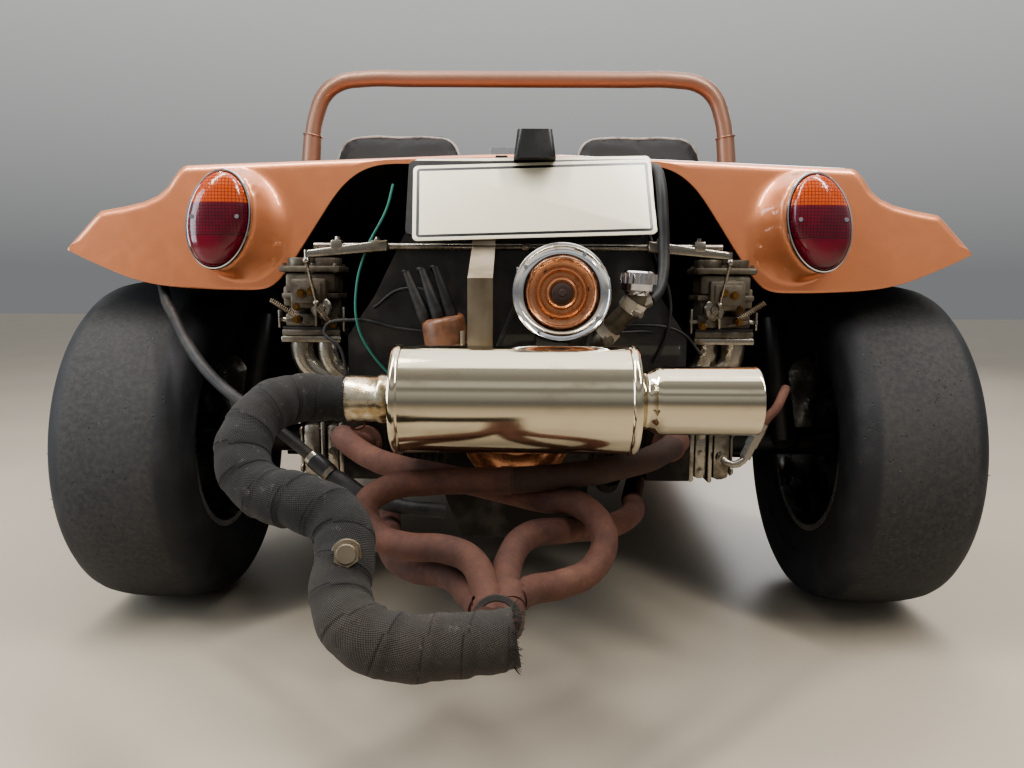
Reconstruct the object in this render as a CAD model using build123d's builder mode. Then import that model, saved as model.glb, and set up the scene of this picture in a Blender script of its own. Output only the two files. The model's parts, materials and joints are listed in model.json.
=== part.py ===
from build123d import *
import os
from math import cos, radians

# A short-wheelbase dune buggy with an open, air-cooled flat-four behind the rear axle.
# Millimetres. The front faces -Y, the vehicle's left is +X, and the ground is Z = 0.
# The origin is on the ground below the middle of the length.

os.makedirs("parts", exist_ok=True)

# Driving dimensions
wheelbase = 2040
front_overhang = 560
rear_overhang = 983
rear_tyre_diameter = 687
rear_tyre_width = 260
rear_track = 1480
front_tyre_diameter = 622
front_tyre_width = 186
front_track = 1310
rim_diameter = 381
shell = 6
tub_half_width = 650
tub_wall = 40
sill_height = 215
roll_bar_height = 1280
roll_bar_radius = 22
seat_width = 430
seat_clearance = 43
plate_length = 400
plate_height = 142
lamp_offset = 530
lamp_height = 798
lamp_length = 174
lamp_width = 113
muffler_diameter = 152
wrapped_pipe_diameter = 74
header_diameter = 38
gap = 0.3
seat_offset = tub_half_width - tub_wall - seat_clearance - seat_width / 2

rear_axle_y = (front_overhang + wheelbase + rear_overhang) / 2 - rear_overhang
front_axle_y = rear_axle_y - wheelbase
rear_hub = (rear_track / 2, rear_axle_y, rear_tyre_diameter / 2)
front_hub = (front_track / 2, front_axle_y, front_tyre_diameter / 2)
sides = (1, -1)


def behind(x, back, z):
    """A point at this distance behind the rear axle."""
    return (x, rear_axle_y + back, z)


def ahead(x, back, z):
    """A point at this distance behind the front axle."""
    return (x, front_axle_y + back, z)


def keep(piece, name):
    """Label a finished piece and write it."""
    piece.part.label = name
    export_step(piece.part, f"parts/{name}.step")


def keep_pair(piece, name):
    """Write the left piece, and its mirror image as the right one."""
    keep(piece, name + "_left")
    with BuildPart() as other:
        mirror(piece.part, about=Plane.YZ)
    keep(other, name + "_right")


def bar(points, bends, radius, bore=0):
    """Sweep a round bar, or a pipe of this bore, along straight runs and arcs."""
    with BuildLine() as route:
        FilletPolyline(*points, radius=bends)
    path = route.wire()
    with BuildSketch(Plane(origin=path @ 0, z_dir=path % 0)) as ring:
        Circle(radius)
        if bore:
            Circle(bore, mode=Mode.SUBTRACT)
    sweep(sections=ring.sketch, path=path)


def rod(start, end, radius, bore=0):
    """A straight round bar, or tube, between two points."""
    run = Vector(*end) - Vector(*start)
    with BuildSketch(Plane(origin=start, z_dir=run)) as ring:
        Circle(radius)
        if bore:
            Circle(bore, mode=Mode.SUBTRACT)
    extrude(ring.sketch, amount=run.length)


def turned(profile, origin, axis=(1, 0, 0)):
    """Turn a closed outline of (along the axis, radius) points round an axis."""
    along = Vector(*axis).normalized()
    side = Vector(0, 0, 1) if abs(along.Z) < 0.9 else Vector(0, 1, 0)
    normal = along.cross(side).normalized()
    with BuildSketch(Plane(origin=origin, x_dir=along, z_dir=normal)) as outline:
        with BuildLine():
            Polyline(*profile, close=True)
        make_face()
    revolve(outline.sketch, axis=Axis(origin, along))


def block(low, high):
    """A plain box between two corners."""
    size = [b - a for a, b in zip(low, high)]
    middle = [(a + b) / 2 for a, b in zip(low, high)]
    with Locations(tuple(middle)):
        Box(*size)


# Tyres: a low, wide slick behind and a narrow road tyre in front
rim_wall = 7
rim_lip = 13


def tyre(hub, diameter, width, rim_half, tread):
    radius = diameter / 2
    bead = rim_diameter / 2 + gap
    foot = rim_half + rim_wall - gap
    flange = rim_diameter / 2 + rim_lip + 3
    with BuildSketch(Plane(origin=hub, x_dir=(1, 0, 0), z_dir=(0, -1, 0))) as outline:
        with BuildLine():
            Polyline((-foot, flange), (-foot, bead), (foot, bead), (foot, flange))
            ThreePointArc((foot, flange), (width / 2, radius * 0.74), (tread / 2 + 4, radius - 26))
            ThreePointArc(
                (tread / 2 + 4, radius - 26), (tread / 2 - 6, radius - 12), (tread / 2 - 22, radius - 5)
            )
            ThreePointArc((tread / 2 - 22, radius - 5), (0, radius), (22 - tread / 2, radius - 5))
            ThreePointArc(
                (22 - tread / 2, radius - 5), (6 - tread / 2, radius - 12), (-tread / 2 - 4, radius - 26)
            )
            ThreePointArc((-tread / 2 - 4, radius - 26), (-width / 2, radius * 0.74), (-foot, flange))
        make_face()
    revolve(outline.sketch, axis=Axis(hub, (1, 0, 0)))


# Rims: a barrel with a lip at each side, and a slotted dish near the outer side
def rim(hub, half_width, dish, slots):
    seat = rim_diameter / 2
    lip = seat + rim_lip
    wall = rim_wall
    turned(
        [
            (-half_width, seat), (-half_width - wall, seat), (-half_width - wall, lip),
            (-half_width - wall - 5, lip), (-half_width - wall - 5, seat - wall), (-half_width, seat - wall),
            (-half_width * 0.5, seat - 24 - wall), (half_width * 0.5, seat - 24 - wall),
            (half_width, seat - wall), (half_width + wall + 5, seat - wall), (half_width + wall + 5, lip),
            (half_width + wall, lip), (half_width + wall, seat), (half_width, seat),
            (half_width * 0.5, seat - 24), (-half_width * 0.5, seat - 24),
        ],
        hub,
    )
    turned(
        [
            (dish, 34), (dish, 95), (dish + 14, seat - 27), (dish + 4, seat - 27), (dish - 12, 95),
            (dish - 12, 34),
        ],
        hub,
    )
    with BuildSketch(Plane(origin=hub, x_dir=(0, 1, 0), z_dir=(1, 0, 0))) as windows:
        with PolarLocations(112, slots):
            RectangleRounded(52, 46, 16)
    extrude(windows.sketch, amount=dish + 40, mode=Mode.SUBTRACT)


rim_rear_half = 92
rim_front_half = 62
with BuildPart() as rear_tyre:
    tyre(rear_hub, rear_tyre_diameter, rear_tyre_width, rim_rear_half, 222)
keep_pair(rear_tyre, "rear_tyre")

with BuildPart() as front_tyre:
    tyre(front_hub, front_tyre_diameter, front_tyre_width, rim_front_half, 150)
keep_pair(front_tyre, "front_tyre")

drum_radius = 118
pin_radius = 16
with BuildPart() as rear_rim:
    rim(rear_hub, rim_rear_half, 40, 8)
    # The brake drum is bolted to the dish
    turned([(-42, 24), (-42, drum_radius), (28, drum_radius), (28, 34), (62, 34), (62, 0), (56, 0),
            (56, pin_radius), (-20, pin_radius), (-20, 24)], rear_hub)
keep_pair(rear_rim, "rear_rim")

with BuildPart() as front_rim:
    rim(front_hub, rim_front_half, 26, 8)
    turned([(-40, 24), (-40, drum_radius), (14, drum_radius), (14, 34), (56, 34), (56, 0), (52, 0),
            (52, pin_radius), (-10, pin_radius), (-10, 24)], front_hub)
keep_pair(front_rim, "front_rim")

# Floor pan: floor plates, centre tunnel, frame head and rear fork
tunnel_half = 75
torsion_back, torsion_z = -330, 300
pan_top = sill_height + 4
with BuildPart() as floor_pan:
    block(ahead(-560, 370, sill_height), behind(560, -420, pan_top))
    with BuildSketch(Plane.XZ.offset(-(front_axle_y + 60))) as tunnel:
        with BuildLine():
            Polyline((-tunnel_half, sill_height), (tunnel_half, sill_height), (tunnel_half - 20, 345),
                     (20 - tunnel_half, 345), close=True)
        make_face()
    extrude(tunnel.sketch, amount=-(wheelbase - 60 - 420))
    block(ahead(-110, -120, 200), ahead(110, 61, 338))
    rod(behind(-520, torsion_back, torsion_z), behind(520, torsion_back, torsion_z), 33)
    block(behind(-560, -424, sill_height), behind(560, torsion_back, pan_top))
    block(behind(-tunnel_half + 20, -421, 230), behind(tunnel_half - 20, torsion_back, 320))
    for side in sides:
        bar([behind(side * 150, torsion_back, 290), behind(side * 195, -200, 262), behind(side * 195, 60, 262),
             behind(side * 195, 100, 288)], 40, 26)
        block(behind(side * 172 - 22, 92, 266), behind(side * 172 + 22, 112, 282))
        # Towers that hold the tops of the dampers
        bar([behind(side * 500, torsion_back, 300), behind(side * 500, -250, 520), behind(side * 540, 0, 655)],
            90, 18)
    for side in sides:
        with Locations([ahead(side * 300, y, pan_top + 3) for y in (520, 700, 880, 1060, 1240)]):
            Box(330, 40, 8)
keep(floor_pan, "floor_pan")

# Body tub: two thick side walls, a firewall in front and a sloping bulkhead behind the seats
cowl_y = front_axle_y + 620
deck_y = rear_axle_y - 600
cowl_height = 872
with BuildPart() as body_tub:
    with BuildSketch(Plane.YZ.offset(tub_half_width - tub_wall)) as wall_side:
        with BuildLine():
            FilletPolyline(
                (cowl_y, sill_height), (cowl_y, cowl_height - 22), (cowl_y + 150, 800),
                (cowl_y + 300, 640), (deck_y - 330, 620), (deck_y - 120, 760), (deck_y - 40, 868),
                (deck_y, 872), (deck_y, sill_height), radius=[4, 60, 150, 150, 100, 40, 4], close=False
            )
            Line((deck_y, sill_height), (cowl_y, sill_height))
        make_face()
    extrude(wall_side.sketch, amount=tub_wall)
    mirror(about=Plane.YZ)
    block((-tub_half_width + tub_wall, cowl_y, sill_height + 60), (tub_half_width - tub_wall, cowl_y + 8, 640))
    bulkhead_half = tub_half_width - tub_wall - 9
    with BuildSketch(Plane.YZ.offset(-bulkhead_half)) as bulkhead:
        with BuildLine():
            Polyline((deck_y + 182, pan_top + gap), (deck_y + 192, pan_top + gap), (deck_y + 30, 862),
                     (deck_y + 20, 862), close=True)
        make_face()
    extrude(bulkhead.sketch, amount=2 * bulkhead_half)
    for side in sides:
        sill_middle = side * (tub_half_width - 34)
        block((sill_middle - 18, deck_y - 1, sill_height), (sill_middle + 18, deck_y + 190, sill_height + 50))
    hump = tunnel_half + 20
    with Locations((0, 0, 350 / 2)):
        Box(2 * hump, 9000, 350 + gap, mode=Mode.SUBTRACT)
    # Slot in the firewall for the steering shaft
    with Locations((342, cowl_y + 4, 624)):
        Box(44, 60, 40, mode=Mode.SUBTRACT)
keep(body_tub, "body_tub")


def inset(points, corner_radii, by):
    """Points and corner radii of an outline at this distance inside, below the way it runs."""
    runs = [(Vector(*b) - Vector(*a)).normalized() for a, b in zip(points, points[1:])]
    rights = [Vector(run.Y, -run.X) for run in runs]
    moved = [Vector(*points[0]) + rights[0] * by]
    radii = []
    for i, radius in enumerate(corner_radii):
        mitre = rights[i] + rights[i + 1]
        moved.append(Vector(*points[i + 1]) + mitre * (by / mitre.dot(rights[i])))
        turns_right = runs[i].cross(runs[i + 1]).Z < 0
        radii.append(radius - by if turns_right else radius + by)
    moved.append(Vector(*points[-1]) + rights[-1] * by)
    return [(p.X, p.Y) for p in moved], radii


def shell_band(y, middle, half, corner_radii):
    """A thin band over the whole width, from one edge up over the middle to the other."""
    points = [(-x, z) for x, z in reversed(half)] + [(0, middle)] + list(half)
    radii = corner_radii[::-1] + [900] + corner_radii
    below, below_radii = inset(points, radii, shell)
    with BuildSketch(Plane.XZ.offset(-y)) as band:
        with BuildLine():
            FilletPolyline(*points, radius=radii)
            FilletPolyline(*below, radius=below_radii)
            Line(points[0], below[0])
            Line(points[-1], below[-1])
        make_face()
    return band.sketch


# Rear body sections, back from the rear axle: middle height, then the deck's edge, the valley,
# the fender's crown and the fender's outer edge, each as (half width, height)
tail_back = 235
rear_sections = [
    (-600, 905, ((tub_half_width - 50, 882), (tub_half_width - 14, 800), (tub_half_width - 2, 600),
                 (tub_half_width, 300))),
    (-420, 914, ((602, 890), (646, 800), (686, 660), (706, 430))),
    (-250, 920, ((604, 896), (660, 820), (748, 756), (808, 622))),
    (-60, 924, ((606, 900), (680, 823), (770, 806), (844, 722))),
    (110, 926, ((606, 901), (688, 825), (776, 814), (850, 742))),
    (tail_back, 922, ((604, 899), (688, 825), (777, 811), (842, 741))),
]
rear_corners = [30, 40, 30]
rear_split = 560
with BuildPart() as rear_body:
    loft(sections=[shell_band(rear_axle_y + back, middle, half, rear_corners)
                   for back, middle, half in rear_sections])
    # The tail wall: its lower edge from the fender's tip in to the engine opening's top
    tail_middle, tail_half = rear_sections[-1][1:]
    opening = [(776, 711), (706, 685), (640, 674), (560, 668.5), (466, 666), (418, 722), (371, 794),
               (330, 857), (290, 889), (248, 900)]
    opening_corners = [60, 60, 60, 60, 45, 60, 60, 60, 60, 60]
    outline = [(-x, z) for x, z in reversed(tail_half)] + [(0, tail_middle)] + list(tail_half)
    with BuildSketch(Plane.XZ.offset(-(rear_axle_y + tail_back))) as tail:
        with BuildLine():
            FilletPolyline(*outline, radius=rear_corners[::-1] + [900] + rear_corners)
            lower = [tail_half[-1]] + opening + [(-x, z) for x, z in reversed(opening)]
            FilletPolyline(*lower, (-tail_half[-1][0], tail_half[-1][1]),
                           radius=opening_corners + opening_corners[::-1])
        make_face()
    extrude(tail.sketch, amount=shell)
    # Flared pods that carry the tail lamps
    for side in sides:
        with BuildSketch(Plane.XZ.offset(-(rear_axle_y + tail_back - shell))) as pod_base:
            with Locations((side * lamp_offset, lamp_height)):
                Ellipse(lamp_width / 2 + 26, lamp_length / 2 + 8)
        with BuildSketch(Plane.XZ.offset(-(rear_axle_y + tail_back + 46))) as pod_face:
            with Locations((side * lamp_offset, lamp_height)):
                Ellipse(lamp_width / 2 - 1, lamp_length / 2 - 1)
        loft(sections=[pod_base.sketch, pod_face.sketch])

with BuildPart() as rear_deck:
    add(rear_body.part)
    with BuildSketch(Plane.XY) as strip:
        Rectangle(2 * rear_split, 9000)
    extrude(strip.sketch, amount=2000, mode=Mode.INTERSECT)
keep(rear_deck, "rear_deck")

with BuildPart() as rear_fender:
    add(rear_body.part)
    with BuildSketch(Plane.XY) as strip:
        with Locations((rear_split + 1000, 0)):
            Rectangle(2000, 9000)
    extrude(strip.sketch, amount=2000, mode=Mode.INTERSECT)
keep_pair(rear_fender, "rear_fender")

# Front body sections, back from the front axle
front_sections = [
    (-front_overhang, 600, ((250, 590), (330, 560), (430, 520), (520, 440))),
    (-420, 690, ((290, 678), (390, 650), (540, 668), (690, 560))),
    (-200, 745, ((320, 733), (430, 700), (600, 730), (752, 664))),
    (60, 790, ((380, 776), (470, 735), (620, 745), (756, 686))),
    (340, 836, ((470, 820), (540, 770), (640, 690), (740, 560))),
    (620, 884, ((tub_half_width - 60, 868), (tub_half_width - 20, 800), (tub_half_width - 2, 600),
                (tub_half_width + 2, 300))),
]
front_corners = [60, 60, 60]
front_split = 330
with BuildPart() as front_body:
    loft(sections=[shell_band(front_axle_y + back, middle, half, front_corners)
                   for back, middle, half in front_sections])
    nose_middle, nose_half = front_sections[0][1:]
    outline = [(-x, z) for x, z in reversed(nose_half)] + [(0, nose_middle)] + list(nose_half)
    with BuildSketch(Plane.XZ.offset(front_overhang - front_axle_y)) as nose:
        with BuildLine():
            FilletPolyline(*outline, radius=front_corners[::-1] + [900] + front_corners)
            FilletPolyline(nose_half[-1], (400, 400), (-400, 400), (-nose_half[-1][0], nose_half[-1][1]),
                           radius=[60, 60])
        make_face()
    extrude(nose.sketch, amount=-shell)

with BuildPart() as hood:
    add(front_body.part)
    with BuildSketch(Plane.XY) as strip:
        Rectangle(2 * front_split, 9000)
    extrude(strip.sketch, amount=2000, mode=Mode.INTERSECT)
keep(hood, "hood")

with BuildPart() as front_fender:
    add(front_body.part)
    with BuildSketch(Plane.XY) as strip:
        with Locations((front_split + 1000, 0)):
            Rectangle(2000, 9000)
    extrude(strip.sketch, amount=2000, mode=Mode.INTERSECT)
keep_pair(front_fender, "front_fender")

# Windscreen: a raked hoop of flat bar with flat glass, on the cowl
screen_foot_y = cowl_y + 6
screen_rake = 0.30
screen_foot = 882.6
screen_top = 1168
screen = Plane(origin=(0, screen_foot_y, screen_foot), x_dir=(1, 0, 0), z_dir=(0, -1, screen_rake))
screen_length = (screen_top - screen_foot) / cos(radians(16.7))
with BuildPart() as windscreen_frame:
    with BuildSketch(screen) as hoop:
        with Locations((0, screen_length / 2)):
            RectangleRounded(1180, screen_length, 70)
            RectangleRounded(1136, screen_length - 44, 50, mode=Mode.SUBTRACT)
    extrude(hoop.sketch, amount=9, both=True)
    rod((0, screen_foot_y + 84, screen_top - 12), (0, screen_foot_y + 114, screen_top + 4), 6)
    with Locations((0, screen_foot_y + 118, screen_top + 2)):
        Box(210, 14, 52)
keep(windscreen_frame, "windscreen_frame")

with BuildPart() as windscreen_glass:
    with BuildSketch(screen) as pane:
        with Locations((0, screen_length / 2)):
            RectangleRounded(1136 - 2 * gap, screen_length - 44 - 2 * gap, 50 - gap)
    extrude(pane.sketch, amount=2.5, both=True)
keep(windscreen_glass, "windscreen_glass")

# Dashboard under the cowl, with two round dials
with BuildPart() as dashboard:
    with BuildSketch(Plane.XZ.offset(-(cowl_y + 9))) as panel:
        with Locations((0, 775)):
            RectangleRounded(2 * (tub_half_width - tub_wall - gap), 190, 40)
    extrude(panel.sketch, amount=-26)
    for x in (250, 370, 490):
        with BuildSketch(Plane.XZ.offset(-(cowl_y + 35))) as dial:
            with Locations((x, 790)):
                Circle(48)
        extrude(dial.sketch, amount=-6)
keep(dashboard, "dashboard")

# Roll bar: one hoop of round tube, with joint sleeves low on its legs
hoop_y = rear_axle_y - 570
hoop_foot = 595
hoop_low = 886.4
hoop_shoulder = 500
hoop_top = roll_bar_height - roll_bar_radius
with BuildPart() as roll_bar:
    bar([(hoop_foot, hoop_y, hoop_low + 7), (hoop_foot - 8, hoop_y, 960), (hoop_shoulder, hoop_y, hoop_top),
         (-hoop_shoulder, hoop_y, hoop_top), (8 - hoop_foot, hoop_y, 960), (-hoop_foot, hoop_y, hoop_low + 7)],
        [100, 120, 120, 100], roll_bar_radius)
    for side in sides:
        rod((side * (hoop_foot - 8), hoop_y, 962), (side * (hoop_foot - 46), hoop_y, 1098), 26)
        rod((side * hoop_foot, hoop_y, hoop_low), (side * hoop_foot, hoop_y, hoop_low + 8), 50)
keep(roll_bar, "roll_bar")

# Seats: a bucket with a high back, one for each side
with BuildPart() as seat:
    with BuildSketch(Plane.YZ.offset(seat_offset - seat_width / 2)) as outline:
        with BuildLine():
            FilletPolyline(
                (deck_y - 590, 300), (deck_y - 620, 400), (deck_y - 250, 360), (deck_y - 140, 1110),
                (deck_y - 70, 1120), (deck_y - 20, 930), (deck_y - 90, 700), (deck_y - 130, 300), close=True,
                radius=30
            )
        make_face()
    extrude(outline.sketch, amount=seat_width)
    with BuildSketch(Plane.XZ.offset(-deck_y)) as shape:
        with Locations((seat_offset, 700)):
            RectangleRounded(seat_width, 846, 100)
    extrude(shape.sketch, amount=800, both=True, mode=Mode.INTERSECT)
    for side in sides:
        block((seat_offset + side * 180 - 15, deck_y - 570, pan_top + 7 + gap),
              (seat_offset + side * 180 + 15, deck_y - 160, 301))
keep_pair(seat, "seat")

# Steering wheel
wheel_radius = 178
wheel_tilt = Vector(0, 0.86, 0.51)
wheel_centre = (seat_offset, cowl_y + 330, 800)
with BuildPart() as steering_wheel:
    rim_plane = Plane(origin=wheel_centre, x_dir=(1, 0, 1), z_dir=wheel_tilt)
    add(Solid.make_torus(wheel_radius, 13, plane=rim_plane))
    across = Vector(1, 0, 0)
    down = wheel_tilt.cross(across).normalized()
    for spoke in (across, -across, down):
        rod(Vector(*wheel_centre) + spoke * 20, Vector(*wheel_centre) + spoke * wheel_radius, 8)
    turned([(-30, 0), (-30, 26), (14, 32), (14, 0)], wheel_centre, wheel_tilt)
keep(steering_wheel, "steering_wheel")

# Gear lever, hand brake and pedals
with BuildPart() as controls:
    bar([(0, cowl_y + 330, 345 + gap), (0, cowl_y + 330, 470), (0, cowl_y + 400, 600)], 60, 7)
    with Locations((0, cowl_y + 400, 606)):
        Sphere(24)
    bar([(0, cowl_y + 560, 345 + gap), (0, cowl_y + 560, 390), (0, cowl_y + 400, 440)], 30, 9)
    for x in (250, 330, 420):
        bar([(x, cowl_y + 120, pan_top + gap), (x, cowl_y + 120, 330), (x, cowl_y + 60, 420)], 30, 7)
        with Locations((x, cowl_y + 52, 424)):
            Box(52, 14, 60)
keep(controls, "controls")

# Headlamps on the nose
with BuildPart() as headlamps:
    for side in sides:
        turned([(-95, 0), (-95, 34), (-60, 66), (20, 88), (34, 92), (40, 88), (52, 50), (56, 0)],
               ahead(side * 470, -395, 772), (0, -1, 0))
        rod(ahead(side * 470, -360, 684.8), ahead(side * 470, -360, 730), 20)
keep(headlamps, "headlamps")

# Front suspension beam: two tubes, trailing arms and the forks that hold the king pins
beam_back = -150
beam_half = front_track / 2 - 235
king_pin = front_track / 2 - 65
beam_low, beam_high = 222, 372
knuckle_arm = 105
arm_top = 402
fork_low = 245
hub_z = front_tyre_diameter / 2
with BuildPart() as front_axle_beam:
    for z in (beam_low, beam_high):
        rod(ahead(-beam_half, beam_back, z), ahead(beam_half, beam_back, z), 28)
        for side in sides:
            rod(ahead(side * (beam_half - 2), beam_back, z), ahead(side * (beam_half + 34), beam_back, z), 24)
            arm_end = hub_z + (z - hub_z) * 0.8
            bar([ahead(side * (beam_half + 20), beam_back, z), ahead(side * (beam_half + 26), beam_back + 60, z),
                 ahead(side * (king_pin - 56), 0, arm_end)], 60, 14)
    for side in sides:
        block(ahead(side * 250 - 5, beam_back - 30, 200), ahead(side * 250 + 5, beam_back + 30, 400))
        tower = side * (beam_half - 16)
        block(ahead(tower - 5, beam_back - 30, 200), ahead(tower + 5, beam_back + 30, 500))
        link = side * (king_pin - 52)
        rod(ahead(link, 0, fork_low - 20), ahead(link, 0, arm_top + 20), 15)
        for low, high in ((fork_low - 20, fork_low - gap), (arm_top + gap, arm_top + 20)):
            fork = side * (king_pin - 22)
            block(ahead(fork - 36, -16, low), ahead(fork + 36, 16, high))
    block(ahead(-120, beam_back - 20, 200), ahead(120, beam_back + 30, 392))
keep(front_axle_beam, "front_axle_beam")

# Steering knuckles turn on upright pins; the arm points straight back
with BuildPart() as knuckle:
    rod(ahead(king_pin, 0, fork_low), ahead(king_pin, 0, arm_top), 16)
    rod(ahead(king_pin, 0, hub_z), ahead(front_track / 2 - 40 - gap, 0, hub_z), 22)
    rod(ahead(king_pin, 0, hub_z), ahead(front_track / 2 + 50, 0, hub_z), pin_radius - gap)
    block(ahead(king_pin - 10, 0, arm_top - 12), ahead(king_pin + 10, knuckle_arm, arm_top))
    rod(ahead(king_pin, knuckle_arm, arm_top - 12), ahead(king_pin, knuckle_arm, arm_top), 14)
keep_pair(knuckle, "knuckle")

# Steering: pitman arm, the track rod that rests on both knuckle arms, and the column with its box
pitman_x = 200
rod_low = arm_top + gap
rod_high = rod_low + 22
box_low = rod_high + 22
with BuildPart() as pitman_arm:
    rod(ahead(pitman_x, 0, rod_high + gap), ahead(pitman_x, 0, box_low - gap), 18)
    block(ahead(pitman_x - 11, 0, rod_high + gap), ahead(pitman_x + 11, knuckle_arm, rod_high + 12))
    rod(ahead(pitman_x, knuckle_arm, rod_high + gap), ahead(pitman_x, knuckle_arm, rod_high + 12), 16)
keep(pitman_arm, "pitman_arm")

with BuildPart() as track_rod:
    middle = (rod_low + rod_high) / 2
    rod(ahead(-king_pin, knuckle_arm, middle), ahead(king_pin, knuckle_arm, middle), 10)
    for x in (-king_pin, pitman_x, king_pin):
        rod(ahead(x, knuckle_arm, rod_low), ahead(x, knuckle_arm, rod_high), 14)
keep(track_rod, "track_rod")

with BuildPart() as steering_column:
    head = Vector(*wheel_centre) - wheel_tilt * (30 + gap)
    knee = head - wheel_tilt * 300
    rod(head, knee, 20)
    rod(knee + wheel_tilt * 8, ahead(pitman_x, 20, box_low + 50), 10)
    block(ahead(pitman_x - 45, -50, box_low), ahead(pitman_x + 45, 50, box_low + 76))
    block(ahead(pitman_x - 20, beam_back + 20, box_low + 10), ahead(pitman_x + 20, -40, box_low + 40))
    block(ahead(pitman_x - 20, beam_back - 20, beam_high + 28 + gap),
          ahead(pitman_x + 20, beam_back + 24, box_low + 40))
keep(steering_column, "steering_column")

# Rear axle: axle tubes with the wheels' pins, trailing arms and dampers
axle_z = rear_tyre_diameter / 2
with BuildPart() as rear_axle:
    for side in sides:
        rod(behind(side * (118 + gap), 0, axle_z), behind(side * (rear_track / 2 - 42 - 5), 0, axle_z), 30)
        rod(behind(side * 690, 0, axle_z), behind(side * (rear_track / 2 + 54), 0, axle_z), pin_radius - gap)
        rod(behind(side * (520 + gap), torsion_back, torsion_z), behind(side * 548, torsion_back, torsion_z), 36)
        bar([behind(side * 540, torsion_back, torsion_z), behind(side * 550, -170, 320),
             behind(side * 640, -10, axle_z)], 60, 16)
        rod(behind(side * 575, 52, 356), behind(side * 544, 14, 616), 24)
        rod(behind(side * 575, 0, axle_z), behind(side * 575, 56, 360), 20)
keep(rear_axle, "rear_axle")

with BuildPart() as transaxle:
    turned([(-290, 0), (-290, 60), (-200, 84), (-110, 96), (-90, 118), (60, 118), (100, 160), (130, 166),
            (130, 0)], behind(0, 0, 352), (0, 1, 0))
keep(transaxle, "transaxle")

# Engine: crankcase, two banks of finned cylinders with heads, and ribbed rocker covers
crank_z = 452
crank_x = 0
case_front, case_back = 130 + gap, 436
head_out, cover_out = 306, 386
port_x = 268
port_back_z, port_front_z = 402, 380
bank_z = 392
with BuildPart() as engine_case:
    with BuildSketch(Plane.XZ.offset(-(rear_axle_y + case_front))) as case_side:
        with BuildLine():
            FilletPolyline((-60, 520), (60, 520), (118, 470), (118, 330), (90, 262), (-90, 262), (-118, 330),
                           (-118, 470), close=True, radius=16)
        make_face()
    extrude(case_side.sketch, amount=-(case_back - case_front))
    rod(behind(crank_x, case_back - 1, crank_z), behind(crank_x, case_back + 40, crank_z), 20)
    block(behind(-95, case_front + 20, 240), behind(95, case_back - 70, 263))
keep(engine_case, "engine_case")

bank_front, bank_back = 214, 344
with BuildPart() as cylinder_heads:
    for side in sides:
        head = port_x * side
        block(behind(head - 38, bank_front - 110, bank_z - 56), behind(head + 38, bank_back, bank_z + 50))
        for back in (bank_front - 28, bank_back - 50):
            rod(behind(side * (118 + gap), back, bank_z), behind(side * 231, back, bank_z), 46)
            for x in range(124, 230, 13):
                rod(behind(side * x, back, bank_z), behind(side * (x + 4), back, bank_z), 52)
keep(cylinder_heads, "cylinder_heads")

with BuildPart() as rocker_covers:
    for side in sides:
        low = behind(min(side * (head_out + gap), side * cover_out), bank_front - 100, bank_z - 60)
        high = behind(max(side * (head_out + gap), side * cover_out), bank_back - 2, bank_z + 46)
        block(low, high)
keep(rocker_covers, "rocker_covers")

# Fan shroud: a tall rounded housing across the engine, and the dynamo that drives its fan
pulley_back = case_back + 40
shroud_front, shroud_back = 206, 330
dynamo_x, dynamo_z = -67, 668
with BuildPart() as fan_shroud:
    with BuildSketch(Plane.XZ.offset(-(rear_axle_y + shroud_front))) as face:
        with BuildLine():
            FilletPolyline((-298, 520.3), (-298, 590), (-250, 660), (-215, 800), (-110, 838), (60, 838),
                           (180, 800), (250, 660), (298, 590), (298, 520.3), radius=[20, 60, 70, 90, 90, 70, 60, 20])
            Line((298, 520.3), (-298, 520.3))
        make_face()
    extrude(face.sketch, amount=-(shroud_back - shroud_front))
keep(fan_shroud, "fan_shroud")

with BuildPart() as dynamo:
    long = pulley_back - shroud_back
    turned([(gap, 0), (gap, 60), (20, 74), (34, 54), (long - 24, 52), (long - 14, 40), (long - 6, 16),
            (long, 16), (long, 0)], behind(dynamo_x, shroud_back, dynamo_z), (0, 1, 0))
    block(behind(dynamo_x - 14, shroud_back + 30, 520 + gap), behind(dynamo_x + 36, shroud_back + 100, 640))
keep(dynamo, "dynamo")

# Pulleys and belt
with BuildPart() as dynamo_pulley:
    turned([(0, 0), (0, 60), (5, 62), (8, 54), (20, 54), (23, 62), (27, 60), (29, 46), (29, 26), (36, 16),
            (42, 16), (42, 0)], behind(dynamo_x, pulley_back + gap, dynamo_z), (0, 1, 0))
keep(dynamo_pulley, "dynamo_pulley")

with BuildPart() as crank_pulley:
    turned([(0, 0), (0, 84), (5, 86), (8, 74), (20, 74), (23, 86), (27, 84), (27, 60), (30, 40), (38, 20),
            (38, 0)], behind(crank_x, pulley_back + gap, crank_z), (0, 1, 0))
keep(crank_pulley, "crank_pulley")

# The belt lies in both pulleys' grooves
with BuildPart() as fan_belt:
    belt_back = pulley_back + gap + 8.5
    with BuildSketch(Plane.XZ.offset(-(rear_axle_y + belt_back))) as loop:
        for grow, mode in ((7, Mode.ADD), (gap, Mode.SUBTRACT)):
            with BuildSketch(Plane.XZ.offset(-(rear_axle_y + belt_back)), mode=Mode.PRIVATE) as ends:
                with Locations((dynamo_x, dynamo_z)):
                    Circle(54 + grow)
                with Locations((crank_x, crank_z)):
                    Circle(74 + grow)
                make_hull()
            add(ends.sketch_local, mode=mode)
    extrude(loop.sketch, amount=-11)
keep(fan_belt, "fan_belt")

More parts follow.
